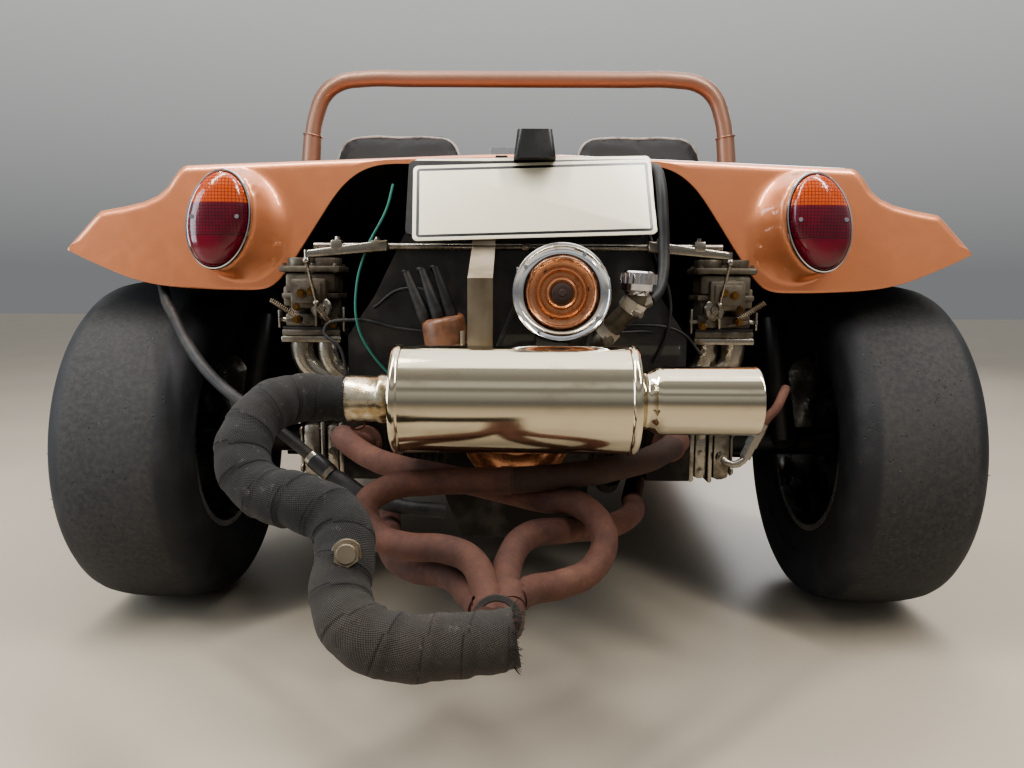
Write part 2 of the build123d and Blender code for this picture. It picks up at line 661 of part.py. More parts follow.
# Chrome guard ring round the dynamo pulley, on a stay from the dynamo
with BuildPart() as belt_guard:
    turned([(0, 66), (0, 75), (14, 75), (14, 66), (11, 66), (11, 72), (3, 72), (3, 66)],
           behind(dynamo_x, pulley_back + 22, dynamo_z), (0, 1, 0))
    for side in sides:
        rod(behind(dynamo_x + side * 62, shroud_back + 60, dynamo_z + 36),
            behind(dynamo_x + side * 62, pulley_back + 24, dynamo_z + 36), 4)
        block(behind(dynamo_x + side * 56 - 13.5, shroud_back + 56, dynamo_z + 33.5),
              behind(dynamo_x + side * 56 + 13.5, shroud_back + 64, dynamo_z + 42))
keep(belt_guard, "belt_guard")

# Two downdraught carburettors on curved manifolds
carb_x, carb_back = 369, 270
carb_flange, carb_top = 588, 721
with BuildPart() as manifold:
    block(behind(carb_x - 54, carb_back - 40, carb_flange - 12), behind(carb_x + 54, carb_back + 40, carb_flange))
    for x in (-24, 24):
        bar([behind(carb_x + x, carb_back, carb_flange - 6), behind(carb_x + x, carb_back, 520),
             behind(276 + x / 2, carb_back - 10, bank_z + 70)], 50, 20)
    block(behind(250, carb_back - 36, bank_z + 50 + gap), behind(304, carb_back + 26, bank_z + 64))
    mirror(about=Plane.YZ)
keep(manifold, "manifolds")

with BuildPart() as carburettor:
    base = carb_flange + gap
    block(behind(carb_x - 52, carb_back - 38, base), behind(carb_x + 52, carb_back + 38, base + 10))
    for x in (-25, 25):
        rod(behind(carb_x + x, carb_back, base), behind(carb_x + x, carb_back, carb_top - 20), 24)
    block(behind(carb_x - 48, carb_back - 34, carb_flange + 60), behind(carb_x + 48, carb_back + 44, carb_top - 26))
    block(behind(carb_x - 54, carb_back - 40, carb_top - 30), behind(carb_x + 54, carb_back + 40, carb_top - 18))
    for x in (-25, 25):
        rod(behind(carb_x + x, carb_back, carb_top - 20), behind(carb_x + x, carb_back, carb_top + 6), 20)
    rod(behind(carb_x - 40, carb_back + 30, carb_flange + 36), behind(carb_x + 40, carb_back + 30, carb_flange + 36), 14)
    mirror(about=Plane.YZ)
keep(carburettor, "carburettors")

# Throttle cross bar with an arm and a rod down to each carburettor
with BuildPart() as throttle_linkage:
    rod(behind(-358, 336, 745), behind(358, 336, 745), 6)
    for side in sides:
        block(behind(side * 290 - 68, 330, 738), behind(side * 290 + 68, 342, 754))
        rod(behind(side * 350, 336, 745), behind(side * 350, 320, carb_flange + 60), 4)
        block(behind(side * 350 - 12, 314 + gap, carb_flange + 56), behind(side * 350 + 12, 323, carb_flange + 84))
keep(throttle_linkage, "throttle_linkage")

# Exhaust header: four pipes of equal length wind under the engine into one collector
with BuildPart() as exhaust_header:
    tube_radius = header_diameter / 2
    mouth_back = 905
    head_back, head_front = bank_back + gap, bank_front - 110 - gap
    runs = [
        ([(-port_x, head_back, port_back_z), (-port_x, head_back + 30, port_back_z), (-270, 440, 432),
          (-150, 556, 410), (120, 608, 400), (226, 624, 394), (196, 664, 314), (84, 702, 340), (38, 742, 320), (22, 800, 290)],
         [40, 60, 120, 200, 36, 34, 44, 40]),
        ([(port_x, head_back, port_back_z), (port_x, head_back + 30, port_back_z), (286, 436, 432),
          (150, 532, 400), (20, 566, 372), (-70, 588, 362),
          (-146, 612, 376), (-138, 668, 290), (-40, 728, 286), (14, 790, 296)],
         [40, 44, 120, 120, 80, 34, 34, 60]),
        ([(-port_x, head_front, port_front_z), (-port_x, 50, port_front_z), (-262, 60, 272), (-232, 430, 298), (-120, 556, 314),
          (-10, 664, 342), (20, 728, 316), (22, 800, 290)], [26, 30, 60, 100, 50, 50]),
        ([(port_x, head_front, port_front_z), (port_x, 50, port_front_z), (262, 60, 262), (214, 420, 270), (176, 590, 276),
          (84, 692, 290), (24, 790, 286)], [26, 30, 200, 80, 100]),
    ]
    for points, bends in runs:
        bar([behind(*point) for point in points], bends, tube_radius)
    bar([behind(30, 742, 306), behind(21, 800, 290), behind(3, 878, 311), behind(3, mouth_back, 311)],
        60, 34)
    rod(behind(8, 872, 305), behind(6, 888, 308), 43)
keep(exhaust_header, "exhaust_header")

muffler_back, muffler_z = 604, 518
muffler_in, muffler_out, tip_out = 170, -164, -338
neck_length = 70

# Lagged pipe from the collector round to the muffler, wound with tape
pipe_radius = wrapped_pipe_diameter / 2
with BuildPart() as wrapped_pipe:
    route = [(-12, 946, 318), (112, 946, 308), (190, 925, 310), (206, 828, 412), (345, 765, 418),
             (372, 662, 512), (312, muffler_back, muffler_z),
             (muffler_in + neck_length + gap, muffler_back, muffler_z)]
    bar([behind(*point) for point in route], [90, 50, 56, 56, 44, 44], pipe_radius)
    # The mouth that takes the collector, and the plug in the bend
    rod(behind(3, mouth_back + gap, 311), behind(3, 942, 311), 36)
    rod(behind(200, 880, 372), behind(204, 932, 380), 14)
keep(wrapped_pipe, "wrapped_pipe")

# Polished muffler across the back, open at its outlet
with BuildPart() as muffler:
    half = muffler_diameter / 2
    turned([(muffler_in, 0), (muffler_in, half - 8), (muffler_in - 10, half), (muffler_out + 10, half),
            (muffler_out, half - 8), (muffler_out, 42), (muffler_out - 16, 42), (muffler_out - 30, 48.5),
            (tip_out, 48.5), (tip_out, 44.5), (muffler_out - 30, 44.5), (muffler_out - 30, 0)],
           behind(0, muffler_back, muffler_z))
    rod(behind(muffler_in - 2, muffler_back, muffler_z), behind(muffler_in + neck_length, muffler_back, muffler_z), 32.5)
keep(muffler, "muffler")

# Number plate, tilted back at its foot, on a black backing plate
plate_top, plate_foot = (348, 887), (410, 755)
plate_x = -25
plate_run = Vector(0, plate_foot[0] - plate_top[0], plate_foot[1] - plate_top[1]).normalized()
plate_middle = behind(plate_x, (plate_top[0] + plate_foot[0]) / 2, (plate_top[1] + plate_foot[1]) / 2)
plate_face = Plane(origin=plate_middle, x_dir=(-1, 0, 0), z_dir=Vector(-1, 0, 0).cross(plate_run * -1))
with BuildPart() as number_plate:
    with BuildSketch(plate_face) as sheet:
        RectangleRounded(plate_length, plate_height, 12)
    extrude(sheet.sketch, amount=2)
keep(number_plate, "number_plate")

with BuildPart() as plate_carrier:
    with BuildSketch(plate_face.offset(-6 - gap)) as sheet:
        with Locations((-14, 4)):
            RectangleRounded(plate_length - 8, plate_height - 2, 10)
    extrude(sheet.sketch, amount=6)
    for x in (-60, 20):
        block(behind(x, tail_back + gap, 868), behind(x + 22, plate_top[0] + 2, 876))
        block(behind(x, tail_back + gap, 868), behind(x + 22, tail_back + 3, 915))
keep(plate_carrier, "plate_carrier")

with BuildPart() as plate_lamp:
    with BuildSketch(Plane.XY.offset(888.2)) as foot:
        with Locations((-27, rear_axle_y + 362)):
            RectangleRounded(70, 44, 8)
    with BuildSketch(Plane.XY.offset(936)) as head:
        with Locations((-27, rear_axle_y + 356)):
            RectangleRounded(58, 34, 8)
    loft(sections=[foot.sketch, head.sketch])
keep(plate_lamp, "plate_lamp")

# Flat steel bar from the muffler's top up to the plate carrier
with BuildPart() as muffler_bracket:
    bracket_x = 56
    bracket_back = muffler_back - muffler_diameter / 2 - gap
    with BuildSketch(Plane.YZ.offset(bracket_x - 19)) as bend:
        with BuildLine():
            rear_side = [(bracket_back, 532), (bracket_back, 690), (404, 744), (402.5, 755), (395.4, 770)]
            front_side = [(391.4, 768), (398, 754), (399.6, 741), (bracket_back - 4, 687), (bracket_back - 4, 532)]
            Polyline(*[(rear_axle_y + back, z) for back, z in rear_side + front_side], close=True)
        make_face()
    extrude(bend.sketch, amount=38)
keep(muffler_bracket, "muffler_bracket")

# Distributor: cap with upright leads
with BuildPart() as distributor:
    foot = behind(34, 380, 520 + gap + 8)
    lean = Vector(0.12, 0.32, 0.94).normalized()
    turned([(0, 0), (0, 22), (34, 22), (40, 33), (64, 33), (92, 35), (96, 30), (112, 26), (112, 0)], foot, lean)
    crown = Vector(*foot) + lean * 104
    for x, y in ((-15, -10), (15, -10), (-15, 12), (15, 12), (0, 0)):
        at = crown + Vector(x, y, 0)
        rod(at, at + lean * 40, 7)
keep(distributor, "distributor")

# Oil filler with its scalloped cap, standing on the crankcase's right front
with BuildPart() as oil_filler:
    stand = behind(-132, 408, 600)
    mouth = behind(-180, 460, 684)
    bar([behind(-89.5, 404, 495), behind(-128, 404, 541), stand, mouth], [20, 30], 19)
    lift = (Vector(*mouth) - Vector(*stand)).normalized()
    turned([(-2, 0), (-2, 24), (6, 28), (20, 28), (26, 16), (26, 0)], mouth, lift)
keep(oil_filler, "oil_filler")

# Hoses: breather from the filler up beside the plate, and a feed line under the left fender
with BuildPart() as hoses:
    bar([behind(-162, 408, 600), behind(-240, 420, 640), behind(-246, 410, 760), behind(-250, 330, 862),
         behind(-240, 262, 872)], [40, 100, 50], 9)
    bar([behind(560, 180, 660), behind(612, 340, 650), behind(520, 420, 585), behind(420, 470, 500),
         behind(340, 450, 412), behind(340, 342 + gap, 412)], [60, 90, 90, 50], 10)
keep(hoses, "hoses")

# Tail lamps: an oval chrome rim and a two-colour lens on each pod
with BuildPart() as lamp_rim:
    with BuildSketch(Plane.XZ.offset(-(rear_axle_y + tail_back + 46 + gap))) as ring:
        with Locations((lamp_offset, lamp_height)):
            Ellipse(lamp_width / 2, lamp_length / 2)
            Ellipse(lamp_width / 2 - 7, lamp_length / 2 - 7, mode=Mode.SUBTRACT)
    extrude(ring.sketch, amount=-12)
    mirror(about=Plane.YZ)
keep(lamp_rim, "tail_lamp_rims")

with BuildPart() as tail_lens:
    with BuildSketch(Plane.XZ.offset(-(rear_axle_y + tail_back + 46 + gap))) as face:
        with Locations((lamp_offset, lamp_height)):
            Ellipse(lamp_width / 2 - 7 - gap, lamp_length / 2 - 7 - gap)
    with BuildSketch(Plane.XZ.offset(-(rear_axle_y + tail_back + 46 + 26))) as nose:
        with Locations((lamp_offset, lamp_height)):
            Ellipse(lamp_width / 2 - 18, lamp_length / 2 - 18)
    loft(sections=[face.sketch, nose.sketch])
    mirror(about=Plane.YZ)
keep(tail_lens, "tail_lamp_lenses")
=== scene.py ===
import json
import math
import random

import bmesh
import bpy
from mathutils import Matrix, Vector, noise
from mathutils.bvhtree import BVHTree


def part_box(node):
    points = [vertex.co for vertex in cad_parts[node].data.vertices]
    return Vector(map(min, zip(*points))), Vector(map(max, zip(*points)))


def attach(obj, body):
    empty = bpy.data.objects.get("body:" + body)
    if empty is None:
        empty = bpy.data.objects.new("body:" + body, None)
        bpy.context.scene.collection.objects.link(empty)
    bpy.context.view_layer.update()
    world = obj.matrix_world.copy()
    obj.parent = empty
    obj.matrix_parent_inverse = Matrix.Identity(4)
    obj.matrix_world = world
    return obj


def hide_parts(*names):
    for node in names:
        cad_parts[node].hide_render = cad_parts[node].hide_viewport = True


# Dune buggy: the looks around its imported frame. Metres; the rear faces +Y and the vehicle's left is +X.
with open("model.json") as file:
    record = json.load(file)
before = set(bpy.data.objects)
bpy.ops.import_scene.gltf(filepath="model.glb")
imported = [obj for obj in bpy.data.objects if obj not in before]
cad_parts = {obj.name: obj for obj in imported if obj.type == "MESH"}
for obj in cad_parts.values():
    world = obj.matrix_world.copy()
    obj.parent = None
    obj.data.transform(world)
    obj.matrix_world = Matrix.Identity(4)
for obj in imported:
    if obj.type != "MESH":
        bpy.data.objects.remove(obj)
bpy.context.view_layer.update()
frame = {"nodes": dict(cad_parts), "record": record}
nodes = frame["nodes"]
scene = bpy.context.scene
mm = 0.001
rearAxle = 0.8085
frontAxle = -1.2315
print("frame loaded:", len(nodes), "nodes")


def behind(x, back, z):  # millimetres from the rear axle to a place in metres
    return Vector((x * mm, rearAxle + back * mm, z * mm))


def ahead(x, back, z):
    return Vector((x * mm, frontAxle + back * mm, z * mm))


# Camera, floor and light

view = {"place": (0.0, 2.5015, 0.675), "down": 7.06, "yaw": 0.37, "roll": 0.35, "lens": 27.25}
camera = bpy.data.objects.new("camera", bpy.data.cameras.new("camera"))
camera.data.lens = view["lens"]
camera.data.clip_start = 0.02
camera.data.clip_end = 100
stand = Matrix.Translation(view["place"])
for degrees, axis in ((180 + view["yaw"], "Z"), (90 - view["down"], "X"), (view["roll"], "Z")):
    stand = stand @ Matrix.Rotation(math.radians(degrees), 4, axis)
camera.matrix_world = stand
scene.collection.objects.link(camera)
scene.camera = camera
scene.view_settings.view_transform = "AgX"
scene.view_settings.look = "AgX - Medium High Contrast"


def areaLight(name, place, aim, size, power, colour=(1, 1, 1)):
    lamp = bpy.data.lights.new(name, "AREA")
    lamp.shape = "RECTANGLE"
    lamp.size, lamp.size_y = size
    lamp.energy = power
    lamp.color = colour
    made = bpy.data.objects.new(name, lamp)
    made.location = place
    made.rotation_euler = (Vector(aim) - Vector(place)).to_track_quat("-Z", "Y").to_euler()
    scene.collection.objects.link(made)


lights = {  # place, aim, size, power and colour
    "tubeLeft": ((1.4, 1.9, 3.0), (0.6, 0.9, 0.6), (0.25, 2.6), 70, (1, 0.97, 0.92)),
    "tubeRight": ((-1.5, 2.1, 3.0), (-0.6, 0.9, 0.6), (0.25, 2.6), 70, (1, 0.97, 0.92)),
    "softTop": ((0, 0.2, 3.6), (0, 0.3, 0), (4, 4), 90),
    "windowLeft": ((3.8, 2.4, 1.4), (0.5, 0.9, 0.5), (1.8, 2.2), 75, (0.80, 0.90, 1)),
    "frontFill": ((-1.5, -4.2, 2.6), (0, -0.8, 0.5), (2.5, 2.0), 80),
}
for name, values in lights.items():
    areaLight(name, *values)


# Shader maths: a link is one output of a node, and an expression on links adds Math nodes


def operator(name, reflected=False):
    def apply(self, other):
        return self.maths(name, *((other, self) if reflected else (self, other)))
    return apply


class Link:
    def __init__(self, finish, socket):
        self.finish = finish
        self.socket = socket

    def maths(self, operation, *values):
        return self.finish.node("Math", {"operation": operation}, dict(enumerate(values)))

    __add__, __radd__ = operator("ADD"), operator("ADD", True)
    __sub__, __rsub__ = operator("SUBTRACT"), operator("SUBTRACT", True)
    __mul__, __rmul__ = operator("MULTIPLY"), operator("MULTIPLY", True)
    __truediv__, __rtruediv__ = operator("DIVIDE"), operator("DIVIDE", True)
    __gt__, __lt__ = operator("GREATER_THAN"), operator("LESS_THAN")
    atLeast, atMost, power = operator("MAXIMUM"), operator("MINIMUM"), operator("POWER")

    def __abs__(self):
        return self.maths("ABSOLUTE", self)

    def sine(self):
        return self.maths("SINE", self)

    def fraction(self):
        return self.maths("FRACT", self)

    def ramp(self, low, high):  # 0 at low and 1 at high, eased
        return self.finish.node("MapRange", {"interpolation_type": "SMOOTHSTEP"},
                                {"Value": self, "From Min": low, "From Max": high})


class Finish:
    def __init__(self, name, base, metal=0.0, rough=0.5, **sockets):
        self.material = bpy.data.materials.new(name)
        self.material.use_nodes = True
        self.tree = self.material.node_tree
        self.shader = self.tree.nodes["Principled BSDF"]
        self.put("Base Color", self.colour(base))
        self.put("Metallic", metal)
        self.put("Roughness", rough)
        for socket, value in sockets.items():
            self.put({"coat": "Coat Weight", "coatRough": "Coat Roughness", "glass": "Transmission Weight",
                      "ior": "IOR", "sheen": "Sheen Weight", "sheenRough": "Sheen Roughness",
                      "specular": "Specular IOR Level"}[socket], value)

    @staticmethod
    def colour(rgb):  # display values 0-255 to the shader's linear ones
        parts = [c / 255 for c in rgb]
        return (*(c / 12.92 if c < 0.04045 else ((c + 0.055) / 1.055) ** 2.4 for c in parts), 1.0)

    def node(self, kind, settings=None, values=None, output=0):
        made = self.tree.nodes.new("ShaderNode" + kind)
        for key, value in (settings or {}).items():
            if key == "stops":
                made.color_ramp.elements.remove(made.color_ramp.elements[1])
                made.color_ramp.elements[0].position = value[0][0]
                made.color_ramp.elements[0].color = self.colour(value[0][1])
                for place, colour in value[1:]:
                    made.color_ramp.elements.new(place).color = self.colour(colour)
            else:
                setattr(made, key, value)
        for key, value in (values or {}).items():
            if isinstance(value, Link):
                self.tree.links.new(value.socket, made.inputs[key])
            else:
                made.inputs[key].default_value = value
        return Link(self, made.outputs[output])

    def put(self, socket, value):
        if isinstance(value, Link):
            self.tree.links.new(value.socket, self.shader.inputs[socket])
        else:
            self.shader.inputs[socket].default_value = value

    def place(self, scale=(1, 1, 1)):
        return self.node("Mapping", None, {"Vector": self.node("TexCoord", output="Object"), "Scale": scale})

    def axes(self, uv=False):
        where = self.node("TexCoord", output="UV" if uv else "Object")
        return [self.node("SeparateXYZ", None, {"Vector": where}, i) for i in range(3)]

    def noise(self, scale, detail=4, stretch=(1, 1, 1), rough=0.5):
        return self.node("TexNoise", None, {"Vector": self.place(stretch), "Scale": scale, "Detail": detail,
                                            "Roughness": rough})

    def cells(self, scale, feature="F1"):
        return self.node("TexVoronoi", {"feature": feature}, {"Vector": self.place(), "Scale": scale}, "Distance")

    def mix(self, share, one, other):
        pick = [v if isinstance(v, Link) else self.colour(v) for v in (one, other)]
        return self.node("Mix", {"data_type": "RGBA"}, {0: share, 6: pick[0], 7: pick[1]}, 2)

    def paint(self, share, one, other):
        self.put("Base Color", self.mix(share, one, other))

    def gloss(self, value):
        self.put("Roughness", value)

    def bump(self, height, strength=0.3, distance=0.001):
        self.put("Normal", self.node("Bump", None, {"Height": height, "Strength": strength, "Distance": distance}))

    def worn(self, scale=6, low=0.42, high=0.68):
        return self.noise(scale, 6, rough=0.6).ramp(low, high)


plainFinishes = {  # colour, metal, roughness; scale and range of the wear, clean and worn colour
    # then roughness when clean and what wear adds to it, and scale, detail, strength and depth of the grain
    "underSeal": ((34, 31, 29), 0, 0.85, (9, 0.42, 0.68), (26, 24, 23), (58, 52, 46), None, (120, 6, 0.5, 0.002)),
    "rubber": ((30, 30, 32), 0, 0.55, (18, 0.42, 0.68), (24, 24, 26), (56, 53, 50), None, (500, 4, 0.3, 0.0006)),
    "cleanAlloy": ((196, 193, 186), 1, 0.3, (20, 0.44, 0.70), (158, 152, 142), (98, 88, 74), (0.26, 0.25),
                   (300, 4, 0.2, 0.0006)),
    "chassisBlack": ((24, 24, 25), 0, 0.5, (10, 0.45, 0.7), (20, 20, 21), (62, 54, 46), (0.42, 0.4),
                     (160, 5, 0.25, 0.001)),
    "engineCase": ((92, 86, 78), 0.6, 0.6, (11, 0.30, 0.56), (70, 65, 58), (26, 22, 19), (0.62, -0.2),
                   (220, 5, 0.45, 0.0012)),
    "piping": ((168, 166, 160), 0, 0.5, (30, 0.42, 0.68), (176, 173, 167), (128, 124, 118), None,
               (300, 2, 0.2, 0.0005)),
    "brass": ((170, 124, 66), 1, 0.32, (40, 0.42, 0.68), (140, 106, 62), (88, 64, 38), None, (200, 3, 0.15, 0.0005)),
}


def makeFinishes():
    made = {}

    def add(key, *args, **kw):
        made[key] = Finish(key, *args, **kw)
        return made[key]

    for key, (base, metal, rough, wear, clean, dirty, gloss, grain) in plainFinishes.items():
        f = add(key, base, metal, rough)
        worn = f.worn(*wear)
        f.paint(worn, clean, dirty)
        if gloss:
            f.gloss(gloss[0] + worn * gloss[1])
        f.bump(f.noise(*grain[:2]), *grain[2:])

    # Metallic copper paint under a clear coat, with fine flake and a little dust
    copper = ((226, 151, 109), (204, 128, 88), 1.0, 0.36)
    for key, (base, dark, coat, rough) in (("bodyPaint", copper), ("tubPaint", copper),
                                           ("barPaint", ((148, 114, 96), (128, 96, 80), 0.3, 0.45))):
        f = add(key, base, 0.55, rough, coat=coat, coatRough=0.04 if coat > 0.5 else 0.2)
        flake = f.cells(1400)
        cloud = f.noise(5, 5)
        paint = f.mix(flake.ramp(0.15, 0.6) * 0.55 + cloud.ramp(0.35, 0.75) * 0.3, base, dark)
        gloss = rough + f.noise(60, 3).ramp(0.4, 0.8) * 0.08
        if key == "tubPaint":  # black behind the bulkhead, towards the engine
            bay = f.axes()[1] > 0.2095
            paint = f.mix(bay, paint, (24, 23, 23))
            gloss = gloss + bay * 0.4
            f.put("Metallic", 0.55 - bay * 0.55)
            f.put("Coat Weight", 1 - bay)
        f.put("Base Color", paint)
        f.gloss(gloss)
        f.bump(f.noise(70, 2) * 0.5 + flake * 0.08, 0.05, 0.0006)
    # Rubber: grey scuffed tread with specks, darker walls
    f = add("tyreRubber", (40, 40, 43), 0, 0.72)
    _, across, _ = f.axes(uv=True)
    tread = 1 - abs(across - 0.5).ramp(0.30, 0.36)
    grain = f.noise(900, 6, (1, 1, 1), 0.7)
    streak = f.noise(110, 6, (1, 1, 1), 0.7)
    specks = 1 - f.cells(120).ramp(0.05, 0.14)
    rare = f.noise(46, 2).ramp(0.60, 0.68)
    dusty = f.mix(streak.ramp(0.32, 0.72), (46, 46, 48), (68, 66, 64))
    dusty = f.mix(f.noise(5, 4).ramp(0.35, 0.7) * 0.35, dusty, (72, 70, 68))
    dusty = f.mix(grain.ramp(0.4, 0.75) * 0.5, dusty, (36, 36, 38))
    wall = f.mix(f.worn(12), (30, 31, 34), (46, 46, 49))
    worn = f.mix(tread, wall, dusty)
    pits = (1 - f.cells(90).ramp(0.10, 0.22)) * f.noise(30, 3).ramp(0.5, 0.6)
    worn = f.mix(pits * tread * 0.7, worn, (24, 24, 25))
    f.paint(specks * rare * 0.7, worn, (136, 132, 124))
    f.gloss(0.62 + tread * 0.18)
    f.bump(grain * 0.5 + streak * 1.2 - pits * 1.2, 0.5, 0.0014)
    # Rims: bright lips, grey and dusty inside
    f = add("polishedAlloy", (205, 206, 208), 1, 0.16)
    lip = abs(abs(f.axes()[0]) - 0.72).ramp(0.05, 0.085)
    dust = f.worn(24, 0.35, 0.7)
    f.paint(dust * 0.6, f.mix(lip, (120, 121, 124), (214, 215, 217)), (84, 78, 72))
    f.gloss(0.14 + dust * 0.3)
    f.bump(f.noise(260, 3, (1, 6, 6)), 0.1, 0.0005)
    # Cast, sand-textured alloy, greasy in places
    f = add("castAlloy", (150, 146, 138), 0.85, 0.5)
    grime = f.worn(16, 0.40, 0.62)
    f.paint(grime, (116, 109, 98), f.mix(f.noise(40, 4), (50, 42, 33), (82, 70, 56)))
    f.put("Metallic", 0.9 - grime * 0.5)
    f.gloss(0.42 + grime * 0.3)
    f.bump(f.noise(380, 5) + f.cells(500) * 0.5, 0.4, 0.0008)
    f = add("coverAlloy", (196, 190, 178), 0.9, 0.36)
    stain = f.worn(22, 0.50, 0.74)
    f.paint(stain, (198, 191, 178), (120, 108, 90))
    f.gloss(0.34 + stain * 0.25)
    f.bump(f.noise(320, 5) + f.cells(420) * 0.4, 0.3, 0.0006)
    f = add("shroudBlack", (30, 29, 29), 0, 0.34, coat=0.4)
    f.paint(f.worn(9, 0.45, 0.75), (27, 26, 27), (64, 57, 50))
    f.gloss(0.34 + f.noise(30, 4).ramp(0.35, 0.8) * 0.3)
    f.bump(f.noise(140, 3), 0.12, 0.0008)
    # Grained vinyl
    f = add("seatVinyl", (25, 25, 26), 0, 0.48, sheen=0.15, sheenRough=0.5)
    leather = f.cells(420, feature="DISTANCE_TO_EDGE")
    f.paint(f.worn(7), (18, 18, 18), (30, 29, 29))
    f.gloss(0.42 + f.noise(24, 3) * 0.2)
    f.bump(leather.ramp(0, 0.12) + f.noise(70, 3) * 0.6, 0.35, 0.0007)
    f = add("chrome", (232, 232, 234), 1, 0.06)
    f.paint(f.worn(30, 0.55, 0.8), (232, 232, 234), (168, 160, 150))
    f.gloss(0.05 + f.noise(45, 4).ramp(0.45, 0.8) * 0.14)
    f.bump(f.noise(90, 2), 0.03, 0.0005)
    # Polished stainless steel: fine marks round the barrel and finger smears. Its warm yellowish tone is painted
    # reflection of warm surroundings, not the steel's own colour
    f = add("polishedSteel", (224, 218, 206), 1, 0.1)
    marks = f.noise(420, 4, (7, 1, 1), 0.6)
    smear = f.noise(9, 5, (1, 2, 2), 0.6)
    f.paint(smear.ramp(0.5, 0.8) * 0.5, (206, 196, 174), (162, 148, 122))
    f.gloss(0.07 + marks.ramp(0.4, 0.8) * 0.07 + smear.ramp(0.5, 0.75) * 0.1)
    f.bump(marks * 0.5 + f.noise(14, 2, (2, 1, 1)) * 2, 0.05, 0.0012)
    f = add("weldedSteel", (176, 160, 132), 1, 0.28)
    f.paint(f.noise(60, 4).ramp(0.3, 0.7), (214, 204, 182), (150, 128, 94))
    f.gloss(0.16 + f.noise(40, 4) * 0.2)
    f.bump(f.noise(420, 3), 0.2, 0.0008)
    # Lamp lens: amber over red, moulded with ribs and a prism grid
    f = add("lampLens", (150, 14, 20), 0, 0.16, coat=0.6, coatRough=0.05, specular=0.5)
    x, _, z = f.axes()
    amber = z > 0.8215
    grid = (z > 0.766) * (z < 0.820)
    ribs = ((z * 1080).sine() * 0.5 + 0.5).power(5)
    squares = ((x * 1080).sine() * 0.5 + 0.5).power(5)
    prisms = 1 - (1 - ribs) * (1 - squares)
    depth = f.noise(22, 3, (1, 1, 1))
    red = f.mix(depth.ramp(0.3, 0.7), (88, 10, 30), (112, 16, 38))
    red = f.mix(grid * prisms * 0.75, red, (48, 4, 18))
    orange = f.mix(prisms * 0.8, f.mix(depth, (206, 98, 44), (186, 70, 30)), (112, 36, 14))
    ridge = 1 - abs(z - 0.7655).ramp(0.0006, 0.0018)
    red = f.mix(ridge * 0.7, red, (30, 2, 10))
    f.paint(amber, red, orange)
    f.bump(prisms * (grid + amber) * 0.5 + ridge + depth, 0.25, 0.0008)
    f.gloss(0.16 + grid * 0.08)
    f = add("lampGlass", (206, 214, 218), 0.2, 0.08, coat=1.0, coatRough=0.02)
    lines = ((f.axes()[0] * 900).sine() * 0.5 + 0.5)
    f.paint(lines * 0.6 + f.noise(30, 2) * 0.3, (226, 232, 236), (128, 138, 146))
    f.bump(lines, 0.5, 0.001)
    f = add("screenGlass", (225, 232, 230), 0, 0.02, glass=0.94, ior=1.06, coat=0.7, coatRough=0.02)
    f.gloss(0.02 + f.worn(5, 0.55, 0.85) * 0.1)
    f = add("blackPlastic", (20, 20, 21), 0, 0.4)
    f.paint(f.worn(20), (18, 18, 19), (40, 39, 38))
    f.gloss(0.36 + f.noise(50, 3) * 0.16)
    f.bump(f.noise(650, 3), 0.2, 0.0004)
    f = add("brownCap", (120, 80, 56), 0, 0.45, coat=0.2, coatRough=0.25)
    f.paint(f.noise(60, 5).ramp(0.3, 0.75), (134, 92, 66), (92, 62, 46))
    f.bump(f.noise(260, 3), 0.15, 0.0005)
    # Bare tube gone red-brown with heat, powdery and blotched
    f = add("rustySteel", (104, 58, 40), 0.1, 0.82)
    blotch = f.noise(14, 7, rough=0.68)
    fine = f.noise(130, 6, rough=0.7)
    rust = f.node("ValToRGB", {"stops": [(0.25, (48, 34, 32)), (0.42, (76, 51, 45)), (0.58, (102, 69, 57)),
                                         (0.76, (132, 97, 79))]}, {"Fac": blotch * 0.7 + fine * 0.3})
    x, y, z = f.axes()
    # darker on the long rear pipe where it runs under the muffler: painted shade
    underMufflerShade = (x < 0.004) * (z > 0.385) * (y > 1.3)  # the long rear pipe past its sleeve
    rust = f.mix(underMufflerShade * 0.6, rust, (48, 42, 40))
    # a duller brown over the brightly lit stretch from y 1.44 to 1.62 tones its light down: painted shade
    rust = f.mix(y.ramp(1.44, 1.62) * 0.45, rust, (74, 50, 42))
    f.paint((1 - f.cells(300).ramp(0.05, 0.3)) * fine.ramp(0.5, 0.7), rust, (66, 42, 34))
    f.gloss(0.7 + fine * 0.2)
    f.bump(fine + blotch * 0.6 - f.cells(420) * 0.3, 0.45, 0.0014)
